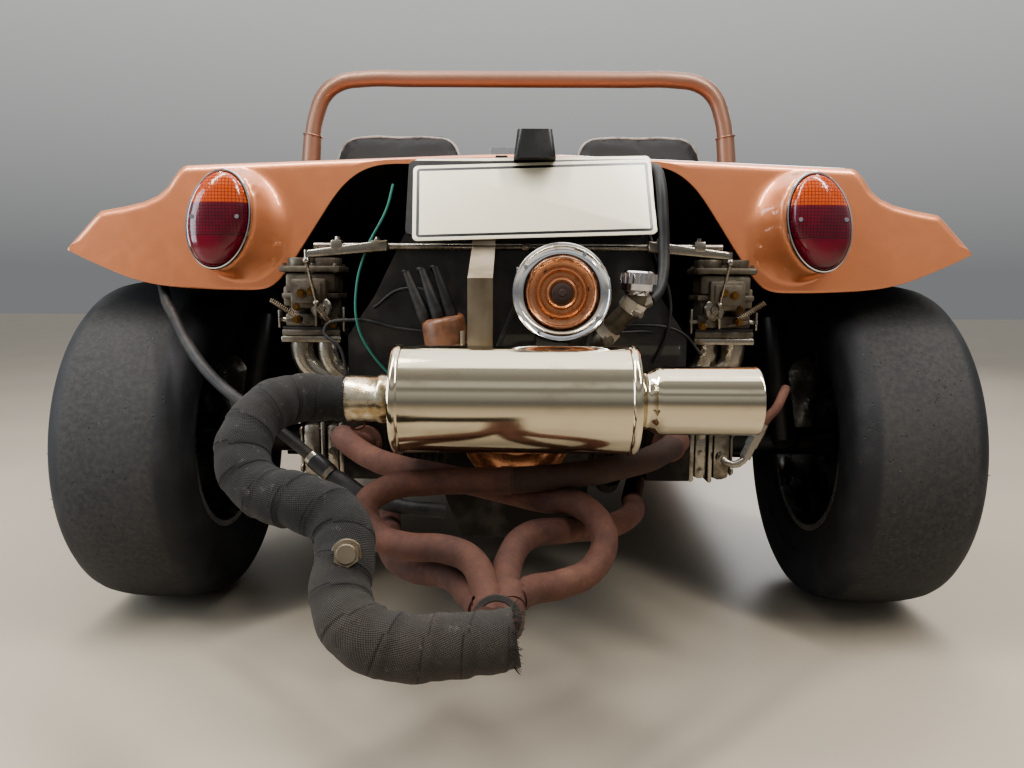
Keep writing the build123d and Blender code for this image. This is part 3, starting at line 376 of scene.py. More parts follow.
    # Woven exhaust tape: u runs round the pipe and v along it, in metres
    f = add("pipeWrap", (40, 39, 39), 0, 0.92, sheen=0.06, sheenRough=0.6)
    u, v, _ = f.axes(uv=True)
    warp = ((u + v * 0.35) * 2900).sine() * 0.5 + 0.5
    weft = ((v - u * 0.35) * 2900).sine() * 0.5 + 0.5
    weave = warp * weft
    edge = (v / 0.042 + u / 0.2325).fraction()
    lapCrease = 1 - edge.ramp(0.0, 0.08)
    dirt = f.noise(20, 6, rough=0.65)
    cloth = f.mix(dirt.ramp(0.35, 0.72), (30, 29, 29), (54, 51, 49))
    # lighter and browner low down: partly brown dust, partly painted light where the low run is lit
    low = 1 - f.axes()[2].ramp(0.30, 0.42)
    cloth = f.mix(low * 0.75, cloth, (94, 85, 75))
    cloth = f.mix(f.axes()[2].ramp(0.46, 0.54) * 0.3, cloth, (80, 76, 72))
    cloth = f.mix(weave.power(0.7), f.mix(0.7, cloth, (10, 10, 10)), cloth)
    # a dark line along each lap's edge: painted shade in the crease under the lap
    cloth = f.mix(lapCrease * 0.7, cloth, (10, 10, 10))
    scuffs = f.noise(75, 5, (1, 1, 1), 0.7).ramp(0.60, 0.68) * 0.4
    cloth = f.mix(f.noise(8, 5, (1, 1, 1), 0.6).ramp(0.52, 0.66) * 0.45, cloth, (66, 57, 49))
    f.paint(scuffs, cloth, (104, 96, 87))
    f.bump(weave * 0.7 + f.noise(90, 4) * 0.9 + f.noise(26, 4) * 1.8 - lapCrease * 1.0, 1.0, 0.0018)
    # Copper lacquer on the pulleys
    f = add("copperPaint", (200, 143, 108), 0.85, 0.3, coat=0.5, coatRough=0.12)
    scuff = f.noise(50, 5, (1, 4, 1)).ramp(0.5, 0.75)
    f.paint(scuff, (200, 143, 108), (134, 86, 60))
    f.gloss(0.26 + scuff * 0.25)
    f.bump(f.noise(240, 3), 0.08, 0.0005)
    f = add("brushedSteel", (178, 174, 166), 1, 0.34)
    strokes = f.noise(700, 3, (1, 1, 0.06))
    f.paint(f.noise(12, 5, (1, 1, 0.5)).ramp(0.4, 0.75), (166, 155, 138), (112, 96, 76))
    f.gloss(0.30 + strokes * 0.2)
    f.bump(strokes, 0.12, 0.0004)
    # Plate: white face with a black line round it; u and v are metres from its middle
    f = add("plateWhite", (226, 224, 218), 0, 0.34, coat=0.4, coatRough=0.15)
    u, v, _ = f.axes(uv=True)
    corner = plate["corner"]
    nearU, nearV = abs(u) - plate["half"][0], abs(v) - plate["half"][1]
    farU, farV = (nearU + corner).atLeast(0), (nearV + corner).atLeast(0)
    inside = (farU * farU + farV * farV).power(0.5) - corner + (nearU.atLeast(nearV) + corner).atMost(0)
    line = abs(inside + plate["inset"]) < plate["line"] / 2
    f.paint(line, f.mix(f.noise(9, 4), (236, 228, 206), (224, 215, 190)), (24, 24, 25))
    f.bump(f.noise(16, 3) * 2 + line * 0.4, 0.06, 0.001)
    f = add("greenWire", (52, 118, 104), 0, 0.45)
    f.bump(f.noise(400, 2), 0.2, 0.0003)
    f = add("floor", (206, 204, 200), 0, 0.42)
    f.paint(f.noise(1.3, 5), (186, 176, 161), (168, 158, 143))
    return {key: f.material for key, f in made.items()}


plate = {"half": (0.2, 0.071), "thick": 0.002, "corner": 0.012, "inset": 0.0085, "line": 0.0050,
         "turn": -2.0, "place": (-25, 379, 820), "lean": -25.2, "secondTurn": -1.0, "secondPlace": (-24, 372, 829.5)}
looks = makeFinishes()
print("finishes made:", len(looks))

world = bpy.data.worlds.new("studio")
world.use_nodes = True
scene.world = world
sky = world.node_tree
height = sky.nodes.new("ShaderNodeSeparateXYZ")
direction = sky.nodes.new("ShaderNodeTexCoord")
shade = sky.nodes.new("ShaderNodeValToRGB")
sky.links.new(direction.outputs["Generated"], height.inputs[0])
sky.links.new(height.outputs[2], shade.inputs[0])
sky.links.new(shade.outputs[0], sky.nodes["Background"].inputs[0])
shade.color_ramp.elements[0].position = 0.02
shade.color_ramp.elements[0].color = (0.30, 0.305, 0.31, 1)
shade.color_ramp.elements[1].position = 1.0
shade.color_ramp.elements[1].color = (0.92, 0.91, 0.89, 1)
for place, tone in ((0.34, 0.80), (0.42, 0.42), (0.50, 0.40), (0.56, 0.95), (0.68, 0.92), (0.74, 0.45), (0.84, 0.5)):
    stop = shade.color_ramp.elements.new(place)
    stop.color = (tone, tone, tone * 0.98, 1)
sky.nodes["Background"].inputs[1].default_value = 0.62

ground = bmesh.new()
bmesh.ops.create_grid(ground, x_segments=1, y_segments=1, size=16)
floorMesh = bpy.data.meshes.new("floor")
ground.to_mesh(floorMesh)
ground.free()
floor = bpy.data.objects.new("floor", floorMesh)
floorMesh.materials.append(looks["floor"])
scene.collection.objects.link(floor)


# Modelling helpers


class Piece:
    # One new piece: a bmesh with its finishes; faces made while a finish is current take it
    def __init__(self, name, body, slot, *finishes, replaces=()):
        self.name, self.body, self.slot, self.replaces = name, body, slot, replaces
        self.finishes = list(finishes)
        self.bm = bmesh.new()
        self.bm.faces.layers.int.new("known")
        self.uv = self.bm.loops.layers.uv.new("UVMap")

    def take(self, finish):  # what was made since the last call has this finish
        if finish not in self.finishes:
            self.finishes.append(finish)
        known = self.bm.faces.layers.int["known"]
        for face in self.bm.faces:
            if not face[known]:
                face.material_index, face[known] = self.finishes.index(finish), 1

    def finish(self, sharp=35, thick=None, clean=True):
        if clean:
            bmesh.ops.remove_doubles(self.bm, verts=self.bm.verts, dist=1e-6)
            bmesh.ops.recalc_face_normals(self.bm, faces=self.bm.faces)
        if "known" in self.bm.faces.layers.int:
            self.bm.faces.layers.int.remove(self.bm.faces.layers.int["known"])
        mesh = bpy.data.meshes.new(self.name)
        self.bm.to_mesh(mesh)
        self.bm.free()
        for key in self.finishes:
            mesh.materials.append(looks[key])
        mesh.shade_smooth()
        mesh.set_sharp_from_angle(angle=math.radians(sharp))
        made = bpy.data.objects.new(self.name, mesh)
        scene.collection.objects.link(made)
        if thick:
            wall = made.modifiers.new("wall", "SOLIDIFY")
            wall.thickness, wall.offset = thick, -1
            wall.use_even_offset = True
            if len(self.finishes) > 1:
                wall.material_offset = 1
        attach(made, self.body)
        if self.replaces:
            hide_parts(*self.replaces)
        return made


def soften(made, width):  # a softened edge on a node as it is
    join = made.modifiers.new("weld", "WELD")
    join.merge_threshold = 1e-5
    edge = made.modifiers.new("edge", "BEVEL")
    edge.width, edge.segments = width, 2
    edge.limit_method, edge.angle_limit = "ANGLE", math.radians(38)
    edge.harden_normals = True
    edge.use_clamp_overlap = True


def rounded(points, radii, steps=6):  # a run of straight lines with its corners cut by arcs
    made = [Vector(points[0])]
    for i, radius in enumerate(radii):
        a, b, c = (Vector(points[i + k]) for k in range(3))
        toA, toC = (a - b).normalized(), (c - b).normalized()
        half = math.acos(max(-1, min(1, toA.dot(toC)))) / 2
        reach = min(radius / math.tan(half), (a - b).length * 0.49, (c - b).length * 0.49)
        for k in range(steps + 1):
            t = k / steps
            made.append(b + toA * reach * (1 - t) ** 2 + toC * reach * t ** 2)
    made.append(Vector(points[-1]))
    return made


def spaced(points, count):  # that many points at equal steps along a run of points
    lengths = [0.0]
    for a, b in zip(points, points[1:]):
        lengths.append(lengths[-1] + (b - a).length)
    made, k = [], 0
    for i in range(count):
        want = lengths[-1] * i / (count - 1)
        while k < len(points) - 2 and lengths[k + 1] < want:
            k += 1
        share = (want - lengths[k]) / max(lengths[k + 1] - lengths[k], 1e-9)
        made.append(points[k].lerp(points[k + 1], min(1, share)))
    return made


def throughPath(points, steps=8):  # points along a smooth line that passes through all of these
    line = bpy.data.curves.new("route", "CURVE")
    line.dimensions = "3D"
    line.resolution_u = steps
    run = line.splines.new("BEZIER")
    run.bezier_points.add(len(points) - 1)
    for point, place in zip(run.bezier_points, points):
        point.co = place
        point.handle_left_type = point.handle_right_type = "AUTO"
    made = bpy.data.objects.new("route", line)
    mesh = bpy.data.meshes.new_from_object(made)
    route = [v.co.copy() for v in mesh.vertices]
    bpy.data.objects.remove(made)
    bpy.data.curves.remove(line)
    bpy.data.meshes.remove(mesh)
    return route


def tube(piece, route, radius, sides=20, swell=None):
    # A ring is extruded from point to point; u is metres round it and v metres along it
    bm = piece.bm
    ring = bmesh.ops.create_circle(bm, cap_ends=False, segments=sides, radius=1.0)["verts"]
    turns = [math.tau * i / sides for i in range(sides)]
    side = (route[1] - route[0]).normalized().orthogonal()
    along = 0.0
    for i, place in enumerate(route):
        if i:
            since, along = along, along + (place - route[i - 1]).length
            held = set(ring)
            grown = bmesh.ops.extrude_edge_only(bm, edges=edgesOf(ring, inner=True))["geom"]
            match = {}
            for fresh in (g for g in grown if isinstance(g, bmesh.types.BMVert)):
                match[next(e.other_vert(fresh) for e in fresh.link_edges if e.other_vert(fresh) in held)] = fresh
            uvOf = {v: (t * radius, since) for v, t in zip(ring, turns)}
            ring = [match[v] for v in ring]
            uvOf.update({v: (t * radius, along) for v, t in zip(ring, turns)})
            for face in (g for g in grown if isinstance(g, bmesh.types.BMFace)):
                wraps = max(uvOf[v][0] for v in face.verts) - min(uvOf[v][0] for v in face.verts) > math.pi * radius
                for loop in face.loops:
                    u, v = uvOf[loop.vert]
                    loop[piece.uv].uv = (u + math.tau * radius if wraps and u < math.pi * radius else u, v)
        heading = (route[min(i + 1, len(route) - 1)] - route[max(i - 1, 0)]).normalized()
        side = (side - heading * side.dot(heading)).normalized()
        up = heading.cross(side)
        for vert, t in zip(ring, turns):
            reach = radius + (swell(along, t, place) if swell else 0)
            vert.co = place + (side * math.cos(t) + up * math.sin(t)) * reach
        if i in (0, len(route) - 1):
            bm.faces.new(ring)


def lathe(piece, profile, origin, axis=(1, 0, 0), steps=72, closed=False):
    # (along, radius) points in millimetres are spun round the axis
    bm = piece.bm
    along = Vector(axis).normalized()
    side = (Vector((0, 0, 1)) if abs(along.z) < 0.9 else Vector((0, 1, 0)))
    side = (side - along * side.dot(along)).normalized()
    verts = [bm.verts.new(Vector(origin) + along * a * mm + side * r * mm) for a, r in profile]
    pairs = list(zip(verts, verts[1:])) + ([(verts[-1], verts[0])] if closed else [])
    edges = [bm.edges.new(pair) for pair in pairs]
    bmesh.ops.spin(bm, geom=verts + edges, cent=origin, axis=along, angle=math.tau, steps=steps,
                   use_merge=True, use_duplicate=False)
    bmesh.ops.remove_doubles(bm, verts=[v for v in bm.verts if v.is_valid], dist=1e-6)


def latheUv(piece, origin, span):
    # u turns round the X axis through the origin, v runs across it from 0 to 1
    for face in piece.bm.faces:
        turns = []
        for loop in face.loops:
            off = loop.vert.co - Vector(origin)
            turns.append(math.atan2(off.z, off.y) / math.tau % 1.0)
        wrap = max(turns) - min(turns) > 0.5
        for loop, share in zip(face.loops, turns):
            off = loop.vert.co - Vector(origin)
            loop[piece.uv].uv = (share + 1 if wrap and share < 0.5 else share, off.x / span + 0.5)


def box(piece, low, high, turn=None):
    low, high = Vector(low), Vector(high)
    made = bmesh.ops.create_cube(piece.bm, size=1.0)["verts"]
    size = [abs(b - a) for a, b in zip(low, high)]
    bmesh.ops.scale(piece.bm, vec=size, verts=made)
    bmesh.ops.translate(piece.bm, vec=(low + high) / 2, verts=made)
    if turn:
        middle, angle, axis = turn
        bmesh.ops.rotate(piece.bm, cent=middle, matrix=Matrix.Rotation(angle, 3, axis), verts=made)
    return made


def rodOf(piece, start, end, radius, sides=16, tip=None):
    run = Vector(end) - Vector(start)
    made = bmesh.ops.create_cone(piece.bm, cap_ends=True, segments=sides, radius1=radius,
                                 radius2=radius if tip is None else tip, depth=run.length)["verts"]
    spin = run.to_track_quat("Z", "Y").to_matrix()
    bmesh.ops.rotate(piece.bm, cent=(0, 0, 0), matrix=spin, verts=made)
    bmesh.ops.translate(piece.bm, vec=(Vector(start) + Vector(end)) / 2, verts=made)
    return made


def rod(piece, side, start, end, *shape):  # between two places in millimetres behind the rear axle
    rodOf(piece, behind(side * start[0], *start[1:]), behind(side * end[0], *end[1:]), *shape)


def edgesOf(verts, inner=False):  # each edge once and always in the same order, or only those between these verts
    return list(dict.fromkeys(e for v in verts for e in v.link_edges if not inner or set(e.verts) <= set(verts)))


def bevelEdges(piece, edges, offset, segments=2):
    bmesh.ops.bevel(piece.bm, geom=edges, offset=offset, segments=segments, affect="EDGES", profile=0.5, material=-1)


def bolt(piece, place, axis, width=0.012, high=0.006):
    axis = Vector(axis).normalized()
    rodOf(piece, place, Vector(place) + axis * high * 0.3, width * 0.75, 16)
    rodOf(piece, Vector(place) + axis * high * 0.3, Vector(place) + axis * high, width * 0.56, 6)


def ride(name):
    return next(b for b, members in frame["record"]["behaviour"]["bodies"].items() if name in members)


# Body shells

rearBody = {"corners": [30, 40, 30], "wall": 0.006, "edge": 15, "back": 235, "columns": 281, "rows": 40,
            "podHigh": 45,
            "pod": (534.5, 793, 59.5, 91.5, 13), "podFoot": (511, 787, 88, 99, -6)}  # middle, half sizes and lean
rearSections = [  # back from the axle, middle height, then (half width, height) of the corners
    (-600, 905, ((600, 882), (636, 800), (648, 600), (650, 300))),
    (-420, 914, ((602, 890), (646, 800), (686, 660), (706, 430))),
    (-250, 920, ((604, 896), (660, 820), (748, 756), (808, 622))),
    (-60, 924, ((606, 900), (680, 823), (770, 806), (844, 722))),
    (110, 926, ((606, 901), (688, 825), (776, 814), (850, 742))),
    (235, 922, ((618, 897), (630, 887), (638, 877), (650, 859), (669, 843), (696, 831), (733, 822), (778, 814),
                (791, 802), (806, 786), (826, 765), (838, 752), (840, 742))),
]
tailRadii = [12, 8, 8, 12, 14, 16, 20, 12, 10, 10, 8, 5]
openingEdge = [(-1, 900), (248, 900), (290, 889), (330, 857), (371, 794), (418, 722), (452, 674), (480, 668),
               (560, 668.5), (634, 672), (678, 677), (723, 688), (771, 708), (828, 734), (839, 740), (900, 776)]
frontBody = {"wall": 0.006, "columns": 181, "under": 8, "rows": 70, "first": -552, "corners": [60, 60, 60]}
frontSections = [
    (-560, 600, ((250, 590), (330, 560), (430, 520), (520, 440))),
    (-420, 690, ((290, 678), (390, 650), (540, 668), (690, 560))),
    (-200, 745, ((320, 733), (430, 700), (600, 730), (752, 664))),
    (60, 790, ((380, 776), (470, 735), (620, 745), (756, 686))),
    (340, 836, ((470, 820), (540, 770), (640, 690), (740, 560))),
    (620, 884, ((590, 868), (630, 800), (648, 600), (652, 300))),
]


def outlineOf(middle, half, corners, count):
    points = [(-x, z, 0) for x, z in reversed(half)] + [(0, middle, 0)] + [(x, z, 0) for x, z in half]
    return spaced(rounded(points, corners[::-1] + [2500] + corners, 8), count)


def between(stations, rows, at):  # smooth values between stations of a surface
    k = max(0, min(len(stations) - 2, sum(at > s for s in stations) - 1))
    a, b = stations[k], stations[k + 1]
    t = (at - a) / (b - a)

    def slope(i):
        lo, hi = max(0, i - 1), min(len(stations) - 1, i + 1)
        return [(q - p) / (stations[hi] - stations[lo]) for p, q in zip(rows[lo], rows[hi])]

    m0, m1 = slope(k), slope(k + 1)
    h00, h10 = 2 * t ** 3 - 3 * t ** 2 + 1, t ** 3 - 2 * t ** 2 + t
    h01, h11 = -2 * t ** 3 + 3 * t ** 2, t ** 3 - t ** 2
    return [p * h00 + u * (h10 * (b - a)) + q * h01 + v * (h11 * (b - a))
            for p, u, q, v in zip(rows[k], m0, rows[k + 1], m1)]


def lowerEdge(x):
    x = abs(x)
    for (a, za), (b, zb) in zip(openingEdge, openingEdge[1:]):
        if x <= b:
            return za + (zb - za) * (x - a) / (b - a)
    return openingEdge[-1][1]


softEdge = [lowerEdge(x) for x in range(0, 901, 6)]
for _ in range(14):  # the opening's corners are rounded
    inner = [(a + 2 * b + c) / 4 for a, b, c in zip(softEdge, softEdge[1:], softEdge[2:])]
    softEdge = [softEdge[0], *inner, softEdge[-1]]


def softLower(x):
    place = min(abs(x), 899) / 6
    k = int(place)
    return softEdge[k] + (softEdge[k + 1] - softEdge[k]) * (place - k)


def podRise(x, z):  # how far the lamp pods stand out of the tail: a leaning cone with an oval face
    def far(middleX, middleZ, halfX, halfZ, lean):
        lean = math.radians(lean)
        dx, dz = abs(x) - middleX, z - middleZ
        u, v = dx * math.cos(lean) + dz * math.sin(lean), dz * math.cos(lean) - dx * math.sin(lean)
        return math.hypot(u / halfX, v / halfZ)

    inner, outer = far(*rearBody["pod"]), far(*rearBody["podFoot"])
    if inner <= 1:
        return rearBody["podHigh"]
    if outer >= 1.03:
        return 0.0
    t = (inner - 1) / (inner - 1 + 1.03 - outer)
    return rearBody["podHigh"] * (1 - t) ** 1.15


def gridPiece(piece, columns, rowsOfPoints):
    # A grid whose points are moved onto the surface
    rows = len(rowsOfPoints)
    made = bmesh.ops.create_grid(piece.bm, x_segments=columns - 1, y_segments=rows - 1, size=1.0)["verts"]
    order = sorted(made, key=lambda v: (round(v.co.y, 6), round(v.co.x, 6)))
    for k, vert in enumerate(order):
        vert.co = rowsOfPoints[k // columns][k % columns]


def shell(name, columns, surface, replaced, wall):  # a painted skin over a grid, dark on its inner side
    piece = Piece(name, "chassis", "body_paint", "bodyPaint", "underSeal", replaces=replaced)
    gridPiece(piece, columns, surface)
    for face in piece.bm.faces:
        face.normal_update()
    if sum(face.normal.z for face in piece.bm.faces) < 0:
        bmesh.ops.reverse_faces(piece.bm, faces=piece.bm.faces)
    piece.finish(sharp=60, thick=wall, clean=False)


def makeRearBody():
    columns = rearBody["columns"]
    stations = [s[0] for s in rearSections]
    rows = [outlineOf(s[1], s[2], rearBody["corners"], columns) for s in rearSections[:-1]]
    rows.append(outlineOf(rearSections[-1][1], rearSections[-1][2], tailRadii, columns))
    back, edge = rearBody["back"], rearBody["edge"]
    tail = rows[-1]
    normals = []
    for i in range(columns):
        run = tail[min(i + 1, columns - 1)] - tail[max(i - 1, 0)]
        normals.append(Vector((-run.y, run.x, 0)).normalized())
    for _ in range(3):
        normals = [(normals[max(0, i - 1)] + normals[i] + normals[min(columns - 1, i + 1)]).normalized()
                   for i in range(columns)]
    roll = [max(1.0, min(edge, 0.42 * abs(p.y - softLower(p.x)))) for p in tail]
    top = [p - n * r for p, n, r in zip(tail, normals, roll)]
    foot = [softLower(p.x) for p in top]
    surface = []
    places = [-600 + k * (back - edge + 600) / 60 for k in range(61)]
    for at in places:
        surface.append([behind(p.x, at, p.y) for p in between(stations, rows, at)])
    for k in range(1, 8):
        angle = math.pi / 2 * k / 7
        line = []
        for p, n, r in zip(tail, normals, roll):
            q = p - n * (r * (1 - math.cos(angle)))
            y = back - edge + (edge - r) * k / 7 + r * math.sin(angle)
            line.append(behind(q.x, y + podRise(q.x, q.y) * (k / 7) ** 2, q.y))
        surface.append(line)
    count = rearBody["rows"]
    for k in range(1, count + 1):
        share = k / count
        line = []
        for p, f in zip(top, foot):
            z = p.y + (min(f, p.y) - p.y) * share
            line.append(behind(p.x, back + podRise(p.x, z), z))
        surface.append(line)
    shell("rear_body_shell", columns, surface, ("rear_deck", "rear_fender_left", "rear_fender_right"), rearBody["wall"])


def makeFrontBody():
    columns, under, count = frontBody["columns"], frontBody["under"], frontBody["rows"]
    first, last = frontBody["first"], frontSections[-1][0]
    stations = [s[0] for s in frontSections]
    rows = [outlineOf(s[1], s[2], frontBody["corners"], columns) for s in frontSections]
    surface = []
    for k in range(under + 1):  # the nose turns under with a soft edge
        t = k / under
        surface.append([ahead(p.x * (0.86 + 0.12 * t), first + 22 - 22 * math.sin(t * math.pi / 2),
                              p.y - 118 * (1 - t) ** 1.5 - 10) for p in rows[0]])
    for at in [first + k * (last - first) / count for k in range(count + 1)]:
        surface.append([ahead(p.x, at, p.y) for p in between(stations, rows, at)])
    shell("front_body_shell", columns, surface, ("hood", "front_fender_left", "front_fender_right"), frontBody["wall"])


deckCloser = {"half": 606, "back": -597, "foot": 846, "gap": 3, "columns": 161, "rows": 3, "wall": 0.003}


def makeDeckCloser():  # a dark strip shuts the gap between the bulkhead and the deck
    piece = Piece("deck_closer", "chassis", "chassis_black", "underSeal")
    outline = outlineOf(rearSections[0][1], rearSections[0][2], rearBody["corners"], deckCloser["columns"])
    top = [p for p in outline if abs(p.x) < deckCloser["half"]]
    foot, last = deckCloser["foot"], deckCloser["rows"] - 1
    gridPiece(piece, len(top), [[behind(p.x, deckCloser["back"], foot + (p.y - deckCloser["gap"] - foot) * k / last)
                                 for p in top] for k in range(last + 1)])
    piece.finish(sharp=60, thick=deckCloser["wall"], clean=False)


makeRearBody()
makeFrontBody()
makeDeckCloser()
print("body shells made")

# Exhaust: four header pipes into one collector, the lagged pipe and the polished muffler

header = {"radius": 0.019, "sides": 24, "collector": 0.0185, "ripple": (0.0005, 30),
          "flanges": ((268, 344.3, 402, 1), (-268, 344.3, 402, 1), (268, 104, 380, -1), (-268, 104, 380, -1))}
headerRuns = [  # x, back from the rear axle and height of each pipe's middle line
    [(-268, 344, 402), (-268, 376, 404), (-267, 415, 419), (-258, 462, 429), (-215, 515, 418), (-176, 540, 411),
     (-73, 580, 402), (14, 602, 400), (119, 612, 399), (184, 622, 391), (212, 638, 368), (194, 657, 337),
     (149, 680, 328), (92, 705, 332), (58, 728, 326), (38, 765, 305), (32, 800, 291)],
    [(268, 344, 402), (268, 376, 404), (280, 410, 420), (285, 445, 431), (239, 485, 410), (181, 522, 399),
     (117, 546, 393), (25, 566, 377), (-40, 582, 366), (-92, 604, 365), (-123, 642, 334), (-104, 682, 299),
     (-62, 712, 289), (-20, 742, 292), (2, 780, 295)],
    [(268, 104, 380), (268, 75, 380), (268, 52, 345), (264, 60, 288), (255, 120, 264), (235, 270, 266),
     (214, 420, 270), (176, 590, 276), (140, 645, 281), (86, 690, 289), (58, 735, 281), (40, 785, 284)],
    [(-268, 104, 380), (-268, 75, 380), (-267, 52, 345), (-260, 62, 292), (-244, 130, 276), (-216, 280, 286),
     (-192, 430, 299), (-142, 520, 307), (-70, 600, 326), (-14, 660, 335), (8, 710, 321), (12, 755, 306),
     (6, 800, 292)],
]
wrap = {"radius": 0.0328, "sides": 56, "step": 0.004, "lap": 0.042, "rise": 0.0019, "threads": 46,
        "taper": (-0.004, 0.13), "lumps": ((0.0024, 24), (0.0012, 75)),  # size, then reach or closeness
        "route": [(-1, 943, 323), (24, 945, 319), (62, 944, 314), (116, 943, 311), (163, 930, 322), (190, 888, 346),
                  (192, 850, 379), (208, 820, 404), (252, 798, 420), (310, 768, 426), (345, 735, 450),
                  (351, 700, 484), (334, 655, 513), (303, 618, 520), (268, 605, 518), (240, 604, 518)]}


def evenly(route, step):  # the same run of points at equal steps
    total = sum((b - a).length for a, b in zip(route, route[1:]))
    return spaced(route, max(2, round(total / step)))


def pipeRun(piece, places, radius, sides=20, step=0.008, swell=None):
    tube(piece, evenly(throughPath([behind(*p) for p in places], 12), step), radius, sides, swell=swell)


def makeHeader():
    piece = Piece("header_pipes", "chassis", "rusty_steel", "rustySteel", replaces=("exhaust_header",))
    for run in headerRuns:
        pipeRun(piece, run, header["radius"], header["sides"],
                swell=lambda along, t, place: header["ripple"][0] * noise.noise(place * header["ripple"][1]))
    # Sleeve and weld on the long rear pipe, flanges at the heads
    lathe(piece, [(-9, 18.6), (-8, 20.2), (8, 20.2), (9, 18.6)], behind(14, 602, 400), (-1, 0.13, 0), 32)
    for x, back, z, towards in header["flanges"]:
        lathe(piece, [(0, 17), (0, 31), (7 * towards, 31), (8 * towards, 30), (8 * towards, 18)],
              behind(x, back, z), (0, 1, 0), 32)
        for dx in (-24, 24):
            rod(piece, 1, (x + dx, back, z), (x + dx, back + 15 * towards, z), 0.0045, 6)
    # Collector: two pipes pressed together, with a clamp at the lagging
    for x in (1, -1):
        pipeRun(piece, [(20 + 15 * x, 768, 303), (21 + 14 * x, 800, 291), (20 + 12 * x, 845, 293),
                        (21 + 10 * x, 880, 306), (24 + 8 * x, 912, 322)], header["collector"], 28)
    piece.take("rustySteel")
    lathe(piece, [(-4, 20), (-4, 25.5), (-2, 27), (2, 27), (4, 25.5), (4, 20)], behind(20, 906, 324),
          (0, 0.86, 0.50), 48, closed=True)
    piece.take("chassisBlack")
    piece.finish(sharp=40)


def lapSwell(along, t, place):  # each turn of tape lies over the one before
    turnsOn = along / wrap["lap"] + t / math.tau + 0.35 * noise.noise(Vector((along * 14, 3.1, 0.4)))
    share = turnsOn % 1.0
    rise = wrap["rise"] * (1 - share) * min(1, share / 0.05)
    taper = wrap["taper"][0] * max(0.0, 1 - along / wrap["taper"][1])
    return rise + taper + sum(size * noise.noise(place * close) for size, close in wrap["lumps"])


def makeWrappedPipe():
    random.seed(11)
    piece = Piece("lagged_pipe", "chassis", "pipe_wrap", "pipeWrap", replaces=("wrapped_pipe",))
    pipeRun(piece, wrap["route"], wrap["radius"], wrap["sides"], wrap["step"], lapSwell)
    piece.take("pipeWrap")
    # Loose threads round both ends of the tape
    for x, back, z, out, reach in ((-1, 944, 323, -1, 0.029), (241, 604, 518, -1, 0.0328)):
        for _ in range(wrap["threads"]):
            t = random.uniform(0, math.tau)
            start = behind(x + 3, back, z) + Vector((0, math.cos(t), math.sin(t))) * (reach + random.uniform(0, 0.002))
            loose = Vector((out * random.uniform(0.3, 1), math.cos(t) * random.uniform(0, 0.4),
                            math.sin(t) * random.uniform(0, 1) - 0.2)).normalized()
            rodOf(piece, start, start + loose * random.uniform(0.006, 0.013), 0.0006, 5, 0.0002)
    piece.take("pipeWrap")
    # Capped boss in the bend
    away = Vector((-0.16, 0.93, 0.32)).normalized()
    plugAt = behind(184, 880, 386)
    lathe(piece, [(-8, 0), (-8, 17), (3, 17.5), (5, 16), (5, 0)], plugAt, away, 32)
    rodOf(piece, plugAt + away * 0.005, plugAt + away * 0.014, 0.0148, 6)
    rodOf(piece, plugAt + away * 0.014, plugAt + away * 0.0165, 0.0115, 24, 0.0100)
    piece.take("brushedSteel")
    piece.finish(sharp=50)


mufflerShape = {
    "steps": 112,
    "barrel": [(172, 0), (172, 60), (173, 70), (173, 76), (170, 78.4), (166, 78.8), (162, 78), (160, 76), (60, 76.3),
               (-60, 76.3), (-155, 76), (-157, 78), (-161, 78.8), (-165, 78.2), (-168, 76), (-168, 70), (-166, 66),
               (-165, 56), (-166, 47), (-168, 43), (-173, 40), (-176, 41.5), (-179, 42.6), (-182, 41),
               (-185, 41), (-192, 45.5), (-199, 48), (-205, 48.5), (-333, 48.5), (-336, 49.4), (-338, 48.6),
               (-338, 46.4), (-334, 45.6), (-205, 45), (-190, 40), (-190, 0)],
    "neck": [(236, 0), (236, 29), (240, 30), (241.5, 31.4), (241.5, 32.6), (198, 32.4), (195, 34.4), (190, 35.2),
             (185, 34.4), (181, 33.4), (178, 36), (175, 41), (172, 44), (172, 0)],
}


def makeMuffler():
    piece = Piece("muffler_barrel", "chassis", "polished_steel", "polishedSteel", replaces=("muffler",))
    lathe(piece, mufflerShape["barrel"], behind(0, 604, 518), (1, 0, 0), mufflerShape["steps"])
    piece.take("polishedSteel")
    lathe(piece, mufflerShape["neck"], behind(0, 604, 518), (1, 0, 0), 80)
    piece.take("weldedSteel")
    # Wire ring that hangs under the neck
    ring = [behind(225 + 9 * math.cos(t), 613 + 4 * math.cos(t), 481 + 7 * math.sin(t))
            for t in (math.tau * k / 24 for k in range(25))]
    tube(piece, ring, 0.0016, 8)
    piece.take("rustySteel")
    piece.finish(sharp=45)


makeHeader()
makeWrappedPipe()
makeMuffler()
print("exhaust made")

# Tail lamps: chrome rim, domed lens with screws

lamp = {"x": 534.5, "z": 793, "face": 281, "half": (58, 90), "lean": 13.0,
        "rim": [(0, 0, 0), (0.6, 0.6, 4), (0.4, 0.4, 8), (-1.4, -1.4, 11.5), (-3.8, -3.8, 12), (-5.6, -5.6, 9.5),
                (-6.2, -6.2, 5)],
        "lens": [(-5.8, -5.8, 4), (-6, -6, 13), (-7.2, -7.2, 17), (-11, -11, 22), (-19, -21, 27), (-31, -39, 30.6),
                 (-45, -64, 32)]}


